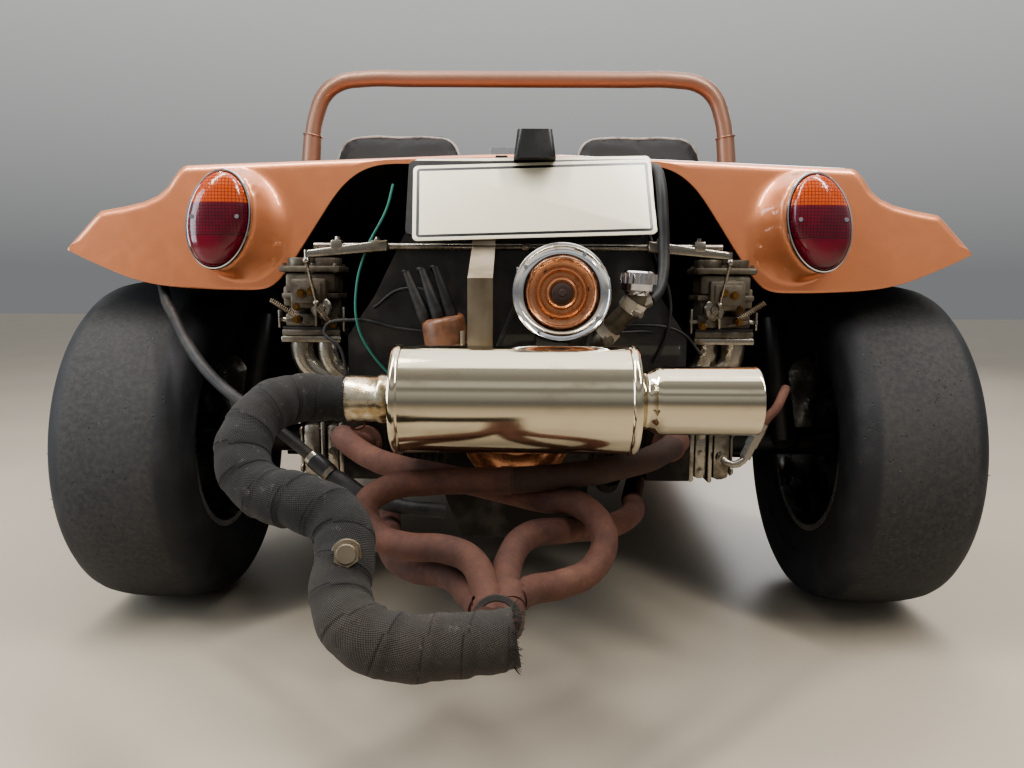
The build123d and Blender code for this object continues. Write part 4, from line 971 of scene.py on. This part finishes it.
def ovals(piece, middle, half, rows, sides=72):  # ovals at growing distances behind, bridged one to the next
    before = None
    for grow, growHigh, out in rows:
        ring = bmesh.ops.create_circle(piece.bm, cap_ends=False, segments=sides, radius=1.0)["verts"]
        lean = math.radians(lamp["lean"]) * (1 if middle[0] > 0 else -1)
        for vert in ring:
            x, z = vert.co.x * (half[0] + grow), vert.co.y * (half[1] + growHigh)
            vert.co = behind(middle[0] + x * math.cos(lean) - z * math.sin(lean), middle[1] + out,
                             middle[2] + z * math.cos(lean) + x * math.sin(lean))
        edges = edgesOf(ring, inner=True)
        if before:
            bmesh.ops.bridge_loops(piece.bm, edges=before + edges)
        before = edges
    return before


def makeTailLamps():
    rim = Piece("tail_lamp_rim_pair", "chassis", "chrome", "chrome", replaces=("tail_lamp_rims",))
    lens = Piece("tail_lamp_lens_pair", "chassis", "lamp_lens", "lampLens", replaces=("tail_lamp_lenses",))
    for side in (1, -1):
        middle = (side * lamp["x"], lamp["face"], lamp["z"])
        ovals(rim, middle, lamp["half"], lamp["rim"])
        last = ovals(lens, middle, lamp["half"], lamp["lens"])
        bmesh.ops.contextual_create(lens.bm, geom=last)
        lens.take("lampLens")
        for dx in (-40, 40):
            spot = behind(middle[0] + dx, lamp["face"] + 21, lamp["z"] + 4)
            rodOf(lens, spot, spot + Vector((0, 0.0075, 0)), 0.0046, 16, 0.0038)
        lens.take("chrome")
    rim.finish(sharp=50)
    lens.finish(sharp=40)


makeTailLamps()


def makePlate(name, turn, place, replaced):
    piece = Piece(name, "chassis", "plate_white", "plateWhite", replaces=replaced)
    lean = math.radians(plate["lean"])
    right = Vector((-1, 0, 0))
    up = Vector((0, math.sin(lean), math.cos(lean)))
    out = right.cross(up)
    turned = Matrix.Rotation(-math.radians(turn), 3, out)
    right, up = turned @ right, turned @ up
    cube = bmesh.ops.create_cube(piece.bm, size=1.0)["verts"]
    bmesh.ops.scale(piece.bm, vec=(2 * plate["half"][0], 2 * plate["half"][1], plate["thick"]), verts=cube)
    upright = [e for e in piece.bm.edges if abs(e.verts[0].co.z - e.verts[1].co.z) > 0.001]
    bevelEdges(piece, upright, 0.009, 6)
    rim = [e for e in piece.bm.edges if abs(e.verts[0].co.z - e.verts[1].co.z) < 0.0001 and len(e.link_faces) == 2
           and abs(e.calc_face_angle(0)) > 1]
    bevelEdges(piece, rim, 0.0006)
    for face in piece.bm.faces:
        for loop in face.loops:
            loop[piece.uv].uv = (loop.vert.co.x, loop.vert.co.y)
    middle = behind(*place) + out * 0.0016
    for vert in piece.bm.verts:
        x, y, z = vert.co
        bow = 0.0015 * math.sin(x * 9 + 0.6)
        vert.co = middle + right * x + up * y + out * (z + bow)
    piece.finish(sharp=30, clean=False)


makePlate("plate_face", plate["turn"], plate["place"], ("number_plate",))
makePlate("plate_second", plate["secondTurn"], plate["secondPlace"], ())  # a second plate shows over its upper edge

# Wheels

tyres = {
    "steps": 144,
    "rear": [(99, 191), (104, 196), (109, 207), (111, 208), (116, 224), (122, 240), (124, 241), (130, 275),
             (129.5, 292), (126, 308), (120, 319), (110, 328.5), (98, 334), (80, 338), (60, 341), (30, 343),
             (0, 343.5)],
    "inner": [(88, 192), (92, 206), (112, 252), (118, 280), (110, 306), (90, 320), (0, 331)],
    "hairs": 44,
}


def makeTyres():
    random.seed(5)
    for end, side in (("rear", 1), ("rear", -1), ("front", 1), ("front", -1)):
        name = end + ("_tyre_left" if side > 0 else "_tyre_right")
        body = ride(name)
        hub = Vector((side * 0.740, rearAxle, 0.3435)) if end == "rear" else Vector((side * 0.655, frontAxle, 0.311))
        wide, tall = (1, 1) if end == "rear" else (93 / 130, (311 - 191) / (343.5 - 191))
        outline = [(a * wide, 191 + (r - 191) * tall) for a, r in tyres["rear"]]
        inside = [(a * wide, 191 + (r - 191) * tall) for a, r in tyres["inner"]]
        if end == "front":  # five grooves round the narrow tread
            grooved = []
            for (a, r), (b, q) in zip(outline, outline[1:]):
                grooved.append((a, r))
                if r > 306:
                    mid = (a + b) / 2
                    grooved += [(mid + 2.4, r), (mid + 1.8, r - 5), (mid - 1.8, r - 5), (mid - 2.4, (r + q) / 2)]
            outline = grooved + [outline[-1]]
        run = outline + [(-a, r) for a, r in outline[-2::-1]] + [(-a, r) for a, r in inside] + [
            (a, r) for a, r in inside[-2::-1]]
        if end == "rear":  # the outer wall bulges less
            run = [(a * (0.93 if a * side > 0 else 1), r) for a, r in run]
        piece = Piece(name + "_rubber", body, "tyre_rubber", "tyreRubber", replaces=(name,))
        lathe(piece, run, hub, (1, 0, 0), tyres["steps"], closed=True)
        latheUv(piece, hub, 0.26 * wide)
        if end == "rear":  # moulding hairs left on the shoulders
            for _ in range(tyres["hairs"]):
                t = random.uniform(0, math.tau)
                spot = random.choice(((125, 309), (129, 290), (127, 262)))
                out = Vector((side, 0.4 * math.cos(t), 0.4 * math.sin(t))).normalized()
                start = hub + Vector((side * (spot[0] * 0.93 - 2), spot[1] * math.cos(t), spot[1] * math.sin(t))) * mm
                rodOf(piece, start, start + out * random.uniform(0.004, 0.0072), 0.0011, 5, 0.0003)
        piece.finish(sharp=38)


makeTyres()
print("wheels made")

# Engine bay


def slab(piece, side, low, high, edge=0.0015):
    # A block between two corners (x outwards, back, z) with its edges rounded
    verts = box(piece, behind(side * low[0], *low[1:]), behind(side * high[0], *high[1:]))
    bevelEdges(piece, edgesOf(verts), edge)


def spring(piece, start, end, radius, turns, wire=0.0008):
    start, end = Vector(start), Vector(end)
    along = (end - start).normalized()
    side = along.orthogonal().normalized()
    up = along.cross(side)
    count = turns * 12
    run = []
    for k in range(count + 1):
        t = math.tau * k / 12
        run.append(start.lerp(end, k / count) + (side * math.cos(t) + up * math.sin(t)) * radius)
    tube(piece, run, wire, 6)


carburettor = {  # blocks between two corners with their edges' width, then the middles of throats and jets
    "castings": [((317, 232, 588.3), (421, 308, 599)), ((322, 238, 604), (416, 303, 628), 0.004),
                 ((324, 240, 664), (414, 306, 700), 0.006), ((319, 234, 655), (419, 310, 664)),
                 ((315, 231, 701), (423, 311, 712), 0.003), ((338, 296, 636), (402, 320, 690), 0.006),
                 ((346, 318, 646), (394, 324, 682), 0.002), ((404, 262, 640), (422, 292, 676), 0.004)],
    "levers": [((424, 284, 602), (428, 306, 634), 0.001), ((309, 286, 596), (313, 304, 640), 0.001),
               ((352, 304, 606), (356, 330, 650), 0.001)],
    "throats": (344, 394), "jets": [(362, 324, 668), (380, 324, 664), (392, 312, 640), (330, 306, 610)],
}


def makeCarburettors():
    piece = Piece("carburettor_pair", "chassis", "cast_alloy", "castAlloy", replaces=("carburettors",))
    for side in (1, -1):
        for block in carburettor["castings"]:
            slab(piece, side, *block)
        for x in carburettor["throats"]:
            lathe(piece, [(599, 0), (599, 24), (628, 23), (655, 22), (655, 0)], behind(side * x, 270, 0), (0, 0, 1), 28)
            lathe(piece, [(712, 19), (712, 23), (724, 24.5), (727, 23.4), (724, 21), (706, 18), (706, 0)],
                  behind(side * x, 270, 0), (0, 0, 1), 32)
            for z in (654, 700, 712):
                for back in (240, 303):
                    bolt(piece, behind(side * (x + 20), back, z), (0, 0, 1), 0.007, 0.005)
                    bolt(piece, behind(side * (x - 20), back, z), (0, 0, 1), 0.007, 0.005)
        piece.take("castAlloy")
        slab(piece, side, (318, 233, 599), (420, 307, 604), 0.0005)
        piece.take("blackPlastic")
        # Pump cover, levers and shaft
        lathe(piece, [(308, 0), (308, 19), (316, 19), (319, 16), (320, 9), (326, 8), (326, 0)],
              behind(side * 348, 0, 638), (0, 1, 0), 28)
        for t in range(4):
            angle = math.tau * (t + 0.5) / 4
            spot = behind(side * 348 + 15 * math.cos(angle), 315, 638 + 15 * math.sin(angle))
            bolt(piece, spot, (0, 1, 0), 0.005, 0.004)
        rod(piece, side, (308, 296, 616), (430, 296, 616), 0.0045, 14)
        for block in carburettor["levers"]:
            slab(piece, side, *block)
        rod(piece, side, (372, 312, 610), (404, 330, 618), 0.0028, 10)
        piece.take("cleanAlloy")
        for x, back, z in carburettor["jets"]:
            bolt(piece, behind(side * x, back, z), (0, 1, 0), 0.010, 0.010)
        rod(piece, side, (386, 318, 618), (386, 338, 618), 0.007, 6)
        rod(piece, side, (386, 338, 618), (386, 346, 618), 0.004, 12)
        piece.take("brass")
        spring(piece, behind(side * 334, 316, 612), behind(side * 352, 330, 640), 0.0042, 11)
        spring(piece, behind(side * 386, 330, 622), behind(side * 430, 338, 652), 0.0045, 15)
        piece.take("brushedSteel")
    piece.finish(sharp=32)


def makeManifolds():
    piece = Piece("manifold_pair", "chassis", "cast_alloy", "cleanAlloy", replaces=("manifolds",))
    for side in (1, -1):
        slab(piece, side, (315, 230, 576), (423, 310, 588), 0.003)
        for x in (-24, 24):
            run = [(side * (369 + x), 270, 584), (side * (369 + x), 270, 560), (side * (360 + x), 268, 532),
                   (side * (324 + x * 0.8), 264, 505), (side * (290 + x * 0.6), 260, 484),
                   (side * (276 + x * 0.5), 260, 458)]
            pipeRun(piece, run, 0.0235, 28)
        slab(piece, side, (246, 226, 443), (306, 296, 456), 0.003)
        for x in (322, 416):
            for back in (240, 300):
                bolt(piece, behind(side * x, back, 588), (0, 0, 1), 0.009, 0.006)
    piece.finish(sharp=40)


def makeLinkage():
    piece = Piece("throttle_cross_bar", "chassis", "polished_alloy", "cleanAlloy", replaces=("throttle_linkage",))
    rod(piece, 1, (-352, 336, 745), (352, 336, 745), 0.006, 20)
    for side in (1, -1):
        # Tapered arm with a raised middle, and a clamp at its inner end
        arm = bmesh.ops.create_cube(piece.bm, size=1.0)["verts"]
        for vert in arm:
            outer = vert.co.x * side > 0
            half = (0.0055, 0.0065) if outer else (0.0075, 0.0095)
            vert.co = behind(side * (364 if outer else 222), 349, 731 if outer else 746) + Vector(
                (0, math.copysign(half[0], vert.co.y), math.copysign(half[1], vert.co.z)))
        bevelEdges(piece, edgesOf(arm), 0.003, 3)
        for x in (232, 300):
            slab(piece, side, (x, 328, 737), (x + 20, 356, 755), 0.003)
            bolt(piece, behind(side * (x + 10), 342, 755), (0, 0, 1), 0.008, 0.006)
        rod(piece, side, (362, 350, 738), (362, 350, 722), 0.005, 12)
        bmesh.ops.create_uvsphere(piece.bm, u_segments=16, v_segments=10, radius=0.0068,
                                  matrix=Matrix.Translation(behind(side * 363, 350, 720)))
        rod(piece, side, (363, 350, 718), (354, 326, 648), 0.0028, 10)
        bmesh.ops.create_uvsphere(piece.bm, u_segments=16, v_segments=10, radius=0.006,
                                  matrix=Matrix.Translation(behind(side * 354, 326, 647)))
        piece.take("cleanAlloy")
    for x in (58, -20):
        slab(piece, 1, (x, 326, 739), (x + 13, 344, 752), 0.002)
    piece.take("brushedSteel")
    piece.finish(sharp=35)


makeCarburettors()
makeManifolds()
makeLinkage()

pulleys = {
    "dynamo": [(0.3, 8), (0.3, 60), (5, 62), (8, 60), (9, 54), (20, 54), (21, 58), (24, 59), (27, 56), (30, 55),
               (33, 54), (34, 52), (33, 50.5), (30, 49.5), (28, 46), (28, 41), (30, 38.5), (33, 37), (33.5, 35),
               (31, 33), (29, 31), (29, 26), (31, 24), (35, 22.5), (36, 20), (34.5, 17), (34, 14), (37, 12), (37, 0)],
    "crank": [(0.3, 8), (0.3, 84), (5, 86), (8, 83), (9, 74), (20, 74), (21, 83), (24, 86), (27, 84), (28, 78),
              (24, 74), (23, 66), (26, 58), (30, 46), (31, 36), (36, 30), (37, 20), (37, 0)],
    "slots": 3,
}


def makePulleys():
    top = Piece("dynamo_pulley_disc", "chassis", "copper_paint", "copperPaint", replaces=("dynamo_pulley",))
    hub = behind(-67, 476, 668)
    lathe(top, pulleys["dynamo"], hub, (0, 1, 0), 96)
    top.take("copperPaint")
    for k in range(pulleys["slots"]):
        angle = math.tau * (k / pulleys["slots"]) + 0.9
        spot = hub + Vector((0.037 * math.cos(angle), 0.0268, 0.037 * math.sin(angle)))
        box(top, spot - Vector((0.0028, 0.001, 0.0052)), spot + Vector((0.0028, 0.0018, 0.0052)),
            (spot, -angle + math.pi / 2, "Y"))
    top.take("blackPlastic")
    lathe(top, [(37, 0), (37, 15), (39, 15.5), (40, 13), (40, 0)], hub, (0, 1, 0), 32)
    rodOf(top, hub + Vector((0, 0.040, 0)), hub + Vector((0, 0.048, 0)), 0.0115, 6)
    rodOf(top, hub + Vector((0, 0.048, 0)), hub + Vector((0, 0.051, 0)), 0.0055, 18, 0.0046)
    top.take("rustySteel")
    top.finish(sharp=30)
    low = Piece("crank_pulley_disc", "chassis", "copper_paint", "copperPaint", replaces=("crank_pulley",))
    hub = behind(0, 476, 452)
    lathe(low, pulleys["crank"], hub, (0, 1, 0), 96)
    low.take("copperPaint")
    bolt(low, hub + Vector((0, 0.036, 0)), (0, 1, 0), 0.026, 0.012)
    low.take("rustySteel")
    low.finish(sharp=30)
    guard = Piece("belt_guard_ring", "chassis", "chrome", "chrome", replaces=("belt_guard",))
    hub = behind(-67, 498, 668)
    lathe(guard, [(0, 64), (0, 74), (2, 76), (11, 76), (14, 74.5), (15, 72), (13.5, 70), (12, 66), (14.5, 61),
                  (14.5, 58.5), (12, 57.5), (10, 58.5), (9, 64), (7, 68), (3, 70), (3, 64)], hub, (0, 1, 0), 112,
          closed=True)
    for side in (1, -1):
        rod(guard, 1, (-67 + side * 62, 390, 704), (-67 + side * 62, 500, 704), 0.004, 14)
        slab(guard, 1, (-67 + side * 56 - 13.5, 386, 701.5), (-67 + side * 56 + 13.5, 394, 710), 0.001)
    for angle in (145, -35, 60, -120):
        t = math.radians(angle)
        bolt(guard, behind(-67 - 66.5 * math.cos(t), 510, 668 + 66.5 * math.sin(t)), (0, 1, 0), 0.0042, 0.004)
    guard.finish(sharp=35)


distributorShape = {
    "foot": (78, 388, 520), "cap": (115, 410, 577), "lean": (0.16, 0.12, 0.98),
    "leads": [((151, 424, 628), (181, 428, 700)), ((130, 428, 632), (155, 430, 704)),
              ((109, 424, 633), (134, 428, 708)), ((128, 400, 630), (160, 398, 706))]}


def makeDistributor():
    piece = Piece("distributor_cap", "chassis", "brown_cap", "brownCap", replaces=("distributor",))
    foot, cap = behind(*distributorShape["foot"]), behind(*distributorShape["cap"])
    lean = Vector(distributorShape["lean"]).normalized()
    lathe(piece, [(0, 0), (0, 20), (30, 21), (38, 30), ((cap - foot).length / mm, 33), ((cap - foot).length / mm, 0)],
          foot, cap - foot, 48)
    piece.take("castAlloy")
    lathe(piece, [(-2, 0), (-2, 37), (1, 39), (6, 39), (8, 37), (46, 35.6), (50, 34), (52, 31), (53, 26), (53, 0)],
          cap, lean, 56)
    piece.take("brownCap")
    # Fat boots on the leads
    for start, end in distributorShape["leads"]:
        a, b = behind(*start), behind(*end)
        far = (b - a).length / mm
        lathe(piece, [(-6, 0), (-6, 10.5), (0, 11.2), (10, 11.2), (13, 10.4), (15, 10.8), (18, 10.2), (45, 8),
                      (far - 8, 5.6), (far, 5.6), (far, 0)], a, b - a, 28)
        far = (end[0] + 6, end[1] - 66, end[2] - 12)
        pipeRun(piece, [end, tuple((p + q) / 2 + 6 for p, q in zip(end, far)), far], 0.0026, 12)
    piece.take("rubber")
    slab(piece, 1, (84, 436, 560), (92, 446, 606), 0.001)
    piece.take("brushedSteel")
    piece.finish(sharp=35)


def makeFiller():
    piece = Piece("oil_filler_neck", "chassis", "chrome", "chrome", replaces=("oil_filler",))
    mouth = behind(-190, 456, 677)
    lean = Vector((-0.05, 0.04, 1)).normalized()
    # Scalloped cap
    rim = bmesh.ops.create_circle(piece.bm, cap_ends=True, segments=96, radius=0.029)["verts"]
    base = list(rim)
    grown = bmesh.ops.extrude_face_region(piece.bm, geom=list(rim[0].link_faces))["geom"]
    lid = [g for g in grown if isinstance(g, bmesh.types.BMVert)]
    bmesh.ops.translate(piece.bm, vec=(0, 0, 0.016), verts=lid)
    turn = lean.to_track_quat("Z", "Y").to_matrix()
    for vert in base + lid:
        t = math.atan2(vert.co.y, vert.co.x)
        reach = 0.0275 + 0.0024 * abs(math.cos(t * 8))
        vert.co = turn @ Vector((math.cos(t) * reach, math.sin(t) * reach, vert.co.z)) + mouth + lean * 0.006
    lathe(piece, [(22, 0), (22, 25), (23.5, 25), (26, 22), (26, 0)], mouth, lean, 40)
    lathe(piece, [(-12, 0), (-12, 17), (-8, 19), (-4, 26), (6, 27), (6, 0)], mouth, lean, 40)
    piece.take("chrome")
    # Neck, its union and the elbow for the breather
    pipeRun(piece, [(-190, 456, 668), (-187, 454, 652), (-166, 444, 628), (-138, 428, 594), (-114, 410, 548),
                    (-96, 404, 505)], 0.0165, 28)
    piece.take("castAlloy")
    for start, end, radius in (((-188, 455, 657), (-178, 450, 641), 0.0215),
                               ((-152, 437, 612), (-142, 431, 600), 0.0205)):
        rod(piece, 1, start, end, radius, 6)
    rod(piece, 1, (-184, 454, 650), (-206, 454, 656), 0.0085, 20)
    rod(piece, 1, (-200, 454, 654), (-212, 454, 658), 0.0105, 6)
    rod(piece, 1, (-182, 466, 640), (-194, 476, 634), 0.006, 6)
    piece.take("coverAlloy")
    lathe(piece, [(-4, 0), (-4, 9), (4, 9), (4, 0)], behind(-146, 448, 592), (0, 1, 0), 24)
    piece.take("castAlloy")
    piece.finish(sharp=35)


makePulleys()
makeDistributor()
makeFiller()


covers = {"ribs": 9, "blocks": [((306.3, 116, 333), (316, 341, 437), 0.004), ((316, 120, 338), (340, 338, 433), 0.009),
                               ((340, 115, 332), (348, 342, 438), 0.0035),
                               ((348, 118, 335), (382, 339, 435), 0.013)]}


def makeHeads():
    # Rocker covers with a ribbed joint, their bolts and the oil unions
    piece = Piece("rocker_cover_pair", "chassis", "cast_alloy", "coverAlloy", replaces=("rocker_covers",))
    for side in (1, -1):
        for block in covers["blocks"]:
            slab(piece, side, *block)
        for k in range(covers["ribs"]):
            back = 134 + k * 24
            slab(piece, side, (381, back, 346), (386, back + 7, 424), 0.002)
        for back in (330, 128, 229):
            for z in (352, 420):
                bolt(piece, behind(side * 382, back, z), (side, 0, 0), 0.012, 0.005)
        for z in (352, 385, 418):
            bolt(piece, behind(side * 328, 338, z), (0, 1, 0), 0.009, 0.008)
    piece.take("cleanAlloy")
    lathe(piece, [(0, 0), (0, 9), (12, 9), (12, 7.5), (20, 7.5), (20, 0)], behind(-362, 339, 379), (0, 1, 0), 24)
    piece.take("cleanAlloy")
    piece.finish(sharp=35)
    fittings = Piece("oil_unions", "chassis", "chrome", "cleanAlloy")
    pipeRun(fittings, [(-362, 356, 379), (-372, 364, 372), (-388, 366, 374), (-400, 364, 386)], 0.0065, 20)
    rod(fittings, 1, (-398, 364, 383), (-408, 363, 404), 0.0105, 6)
    rod(fittings, 1, (-408, 363, 404), (-423, 362, 434), 0.0125, 6)
    rod(fittings, 1, (-423, 362, 434), (-428, 362, 444), 0.0105, 20)
    # Knurled union with two bright rings on the left feed hose
    for start, end, radius, sides in (((352, 396, 388), (346, 398, 383), 0.0145, 32),
                                      ((322, 404, 364), (315, 406, 358), 0.0150, 32)):
        rod(fittings, 1, start, end, radius, sides)
    fittings.take("cleanAlloy")
    rod(fittings, 1, (346, 398, 383), (322, 404, 364), 0.0155, 28)
    fittings.take("blackPlastic")
    pipeRun(fittings, [(-426, 362, 440), (-437, 361, 456), (-450, 360, 470), (-462, 350, 488), (-478, 322, 500)],
            0.008, 20)
    fittings.take("rustySteel")
    fittings.finish(sharp=35)


lines = {  # held hoses and wires in the bay: radius, sides and route of each
    "rubber": [
        (0.0093, 24, (-210, 454, 657), (-224, 442, 668), (-236, 420, 700), (-239, 404, 745), (-238, 392, 800),
         (-237, 372, 846), (-236, 320, 880), (-230, 262, 884)),
        (0.010, 24, (684, 180, 740), (680, 196, 708), (677, 206, 678), (670, 216, 660), (657, 236, 642),
         (636, 262, 624), (593, 312, 578), (536, 362, 528), (477, 404, 492), (420, 412, 452), (376, 404, 412),
         (352, 396, 388)),
        (0.0125, 24, (315, 406, 358), (292, 410, 348), (262, 420, 330), (200, 430, 312), (120, 420, 300)),
        (0.003, 12, (300, 334, 520), (312, 336, 570), (340, 330, 600), (290, 336, 618), (207, 338, 604),
         (140, 338, 596)),
        (0.003, 12, (-240, 336, 545), (-262, 338, 600), (-262, 340, 671), (-246, 345, 706), (-225, 338, 770)),
        (0.003, 12, (250, 336, 640), (200, 345, 672), (140, 350, 660), (110, 372, 600)),
        (0.0028, 12, (-120, 360, 586), (-190, 344, 600), (-262, 320, 590), (-300, 300, 540)),
        (0.0026, 12, (-150, 336, 604), (-220, 336, 612), (-285, 336, 600), (-325, 330, 560)),
    ],
    "greenWire": [
        (0.0022, 10, (214, 338, 850), (225, 345, 807), (260, 345, 740), (279, 345, 672), (276, 345, 603),
         (252, 342, 556), (226, 338, 524)),
    ],
}


def makeLines():
    piece = Piece("hose_runs", "chassis", "rubber", "rubber", replaces=("hoses",))
    for key, run in lines.items():
        for radius, sides, *route in run:
            pipeRun(piece, route, radius, sides)
        piece.take(key)
    piece.finish(sharp=35)


makeHeads()
makeLines()
print("engine bay made")

# Roll bar and cabin

hoop = {"back": -570, "foot": 597, "high": 1256, "radius": 0.0222, "sleeve": 0.0255, "sleeveTop": 1100,
        "half": [(604, 889), (597.5, 960), (589.5, 1040), (583, 1100), (570, 1160), (546, 1213), (504, 1244),
                 (440, 1255), (300, 1256)]}


def makeRollBar():
    piece = Piece("roll_hoop", "chassis", "bar_paint", "barPaint", replaces=("roll_bar",))
    back, high = hoop["back"], hoop["high"]
    half = [(x, back, z) for x, z in hoop["half"]]
    pipeRun(piece, half + [(0, back, high)] + [(-x, y, z) for x, y, z in half[::-1]], hoop["radius"], 32, 0.012)
    for side in (1, -1):
        rod(piece, side, (604, back, 888), (583, back, hoop["sleeveTop"]), hoop["sleeve"], 36)
        lathe(piece, [(-2, 22), (-2, 27.4), (0, 28.2), (2, 27.4), (2, 22)], behind(side * 583, back, hoop["sleeveTop"]),
              (side * -0.18, 0, 1), 32, closed=True)
        rod(piece, side, (hoop["foot"], back, 886.6), (hoop["foot"], back, 894), 0.046, 40)
        for dx, dy in ((36, 0), (-36, 0), (0, 36), (0, -36)):
            bolt(piece, behind(side * (hoop["foot"] + dx), back + dy, 894), (0, 0, 1), 0.010, 0.004)
    piece.finish(sharp=40)


makeRollBar()


seat = {"voxel": 0.007, "pressure": 4.0, "frames": 20, "cap": 0.012, "shrink": 0.006, "narrow": 0.13,
        "top": 1.122, "raised": 0.9, "shoulder": 0.62,
        "channel": {"half": 0.15, "step": 0.05, "deep": 0.004, "wide": 0.09},
        "edge": [(-215, -672, 760), (-215, -629, 900), (-213, -638, 1000), (-200, -655, 1070), (-160, -668, 1105),
                 (-90, -672, 1118), (0, -672, 1120), (90, -672, 1118), (160, -668, 1105), (200, -655, 1070),
                 (213, -638, 1000), (215, -629, 900), (215, -672, 760)]}


def makeSeats():
    channel = seat["channel"]
    low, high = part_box("seat_left")
    middle = (low[0] + high[0]) / 2
    made = bmesh.new()
    made.from_mesh(nodes["seat_left"].data)
    bmesh.ops.remove_doubles(made, verts=made.verts, dist=1e-5)
    bmesh.ops.recalc_face_normals(made, faces=made.faces)
    for vert in made.verts:  # a little smaller, so that it can swell, and narrower at the shoulders
        vert.co -= vert.normal * seat["shrink"]
        rise = max(0.0, (vert.co.z - seat["shoulder"]) / (high[2] - seat["shoulder"]))
        vert.co.x = middle + (vert.co.x - middle) * (1 - seat["narrow"] * rise ** 2)
    mesh = bpy.data.meshes.new("seat_form")
    made.to_mesh(mesh)
    made.free()
    form = bpy.data.objects.new("seat_form", mesh)
    scene.collection.objects.link(form)
    bpy.context.view_layer.objects.active = form
    even = form.modifiers.new("even", "REMESH")
    even.mode, even.voxel_size = "VOXEL", seat["voxel"]
    bpy.ops.object.select_all(action="DESELECT")
    form.select_set(True)
    bpy.ops.object.modifier_apply(modifier="even")
    before = [v.co.copy() for v in form.data.vertices]
    after = before
    cloth = form.modifiers.new("cloth", "CLOTH")
    cloth.settings.use_pressure = True
    cloth.settings.uniform_pressure_force = seat["pressure"]
    cloth.settings.effector_weights.gravity = 0
    cloth.settings.quality = 5
    cloth.point_cache.frame_start, cloth.point_cache.frame_end = 1, seat["frames"]
    for step in range(1, seat["frames"] + 1):
        scene.frame_set(step)
    shaped = form.evaluated_get(bpy.context.evaluated_depsgraph_get()).to_mesh()
    after = [v.co.copy() for v in shaped.vertices]
    form.modifiers.remove(cloth)
    scene.frame_set(1)
    base = bmesh.new()
    base.from_mesh(form.data)
    base.verts.ensure_lookup_table()
    for vert, a, b in zip(base.verts, before, after):
        move = b - a
        if move.length > seat["cap"]:
            move *= seat["cap"] / move.length
        vert.co = a + move
    bmesh.ops.smooth_vert(base, verts=base.verts, factor=0.5, use_axis_x=True, use_axis_y=True, use_axis_z=True)
    top = max(vert.co.z for vert in base.verts)
    for vert in base.verts:  # the swelling rounds the top off, which stands as high as before
        vert.co.z += (seat["top"] - top) * max(0.0, (vert.co.z - seat["raised"]) / (top - seat["raised"]))
    bpy.data.objects.remove(form)
    for side, name in ((1, "seat_left"), (-1, "seat_right")):
        piece = Piece(name + "_pad", "chassis", "seat_vinyl", "seatVinyl", replaces=(name,))
        piece.bm.free()
        piece.bm = base.copy()
        if side < 0:
            bmesh.ops.scale(piece.bm, vec=(-1, 1, 1), verts=piece.bm.verts)
            bmesh.ops.reverse_faces(piece.bm, faces=piece.bm.faces)
        # Sewn channels pressed into the faces that the driver leans on
        for vert in piece.bm.verts:
            x = abs(vert.co.x) - middle
            if abs(x) < channel["half"] and (vert.normal.y < -0.2 or vert.normal.z > 0.6):
                off = abs((x / channel["step"] + 0.5) % 1.0 - 0.5)
                vert.co -= vert.normal * channel["deep"] * max(0.0, 1 - off / channel["wide"])
        piece.finish(sharp=60, clean=False)
    skin = BVHTree.FromBMesh(base)
    base.free()
    # Piping along the shoulders of both seats
    trim = Piece("seat_piping", "chassis", "seat_vinyl", "piping")
    for side in (1, -1):
        run = [skin.find_nearest(behind(middle / mm + x, y, z))[0] for x, y, z in seat["edge"]]
        tube(trim, evenly([Vector((side * p.x, p.y, p.z)) for p in throughPath(run, 8)], 0.01), 0.0042, 12)
    trim.finish(sharp=60)


makeSeats()
print("seats made")

# CAD nodes that keep their own form, by finish, with the width of their softened edges
carried = {
    "tubPaint": {"body_tub": 0.010}, "screenGlass": {"windscreen_glass": None}, "rubber": {"fan_belt": 0.0012},
    "chrome": {"windscreen_frame": 0.0015, "headlamps": 0.0015}, "brushedSteel": {"muffler_bracket": 0.0008},
    "chassisBlack": {"floor_pan": 0.0015, "steering_column": 0.001, "controls": 0.0015, "front_axle_beam": 0.001,
                     "knuckle_left": 0.001, "knuckle_right": 0.001, "rear_axle": 0.0012},
    "blackPlastic": {"dashboard": 0.004, "plate_carrier": 0.001, "plate_lamp": 0.005, "steering_wheel": None},
    "castAlloy": {"pitman_arm": 0.001, "track_rod": 0.0008},
    "engineCase": {"transaxle": 0.002, "engine_case": 0.003, "cylinder_heads": 0.0008},
    "shroudBlack": {"fan_shroud": 0.012, "dynamo": 0.0015},
    "polishedAlloy": {"rear_rim_left": 0.001, "rear_rim_right": 0.001, "front_rim_left": 0.001,
                      "front_rim_right": 0.001},
}
for look, widths in carried.items():
    for name, width in widths.items():
        nodes[name].data.materials.clear()
        nodes[name].data.materials.append(looks[look])
        if width:
            soften(nodes[name], width)
print("CAD nodes finished:", sum(map(len, carried.values())))
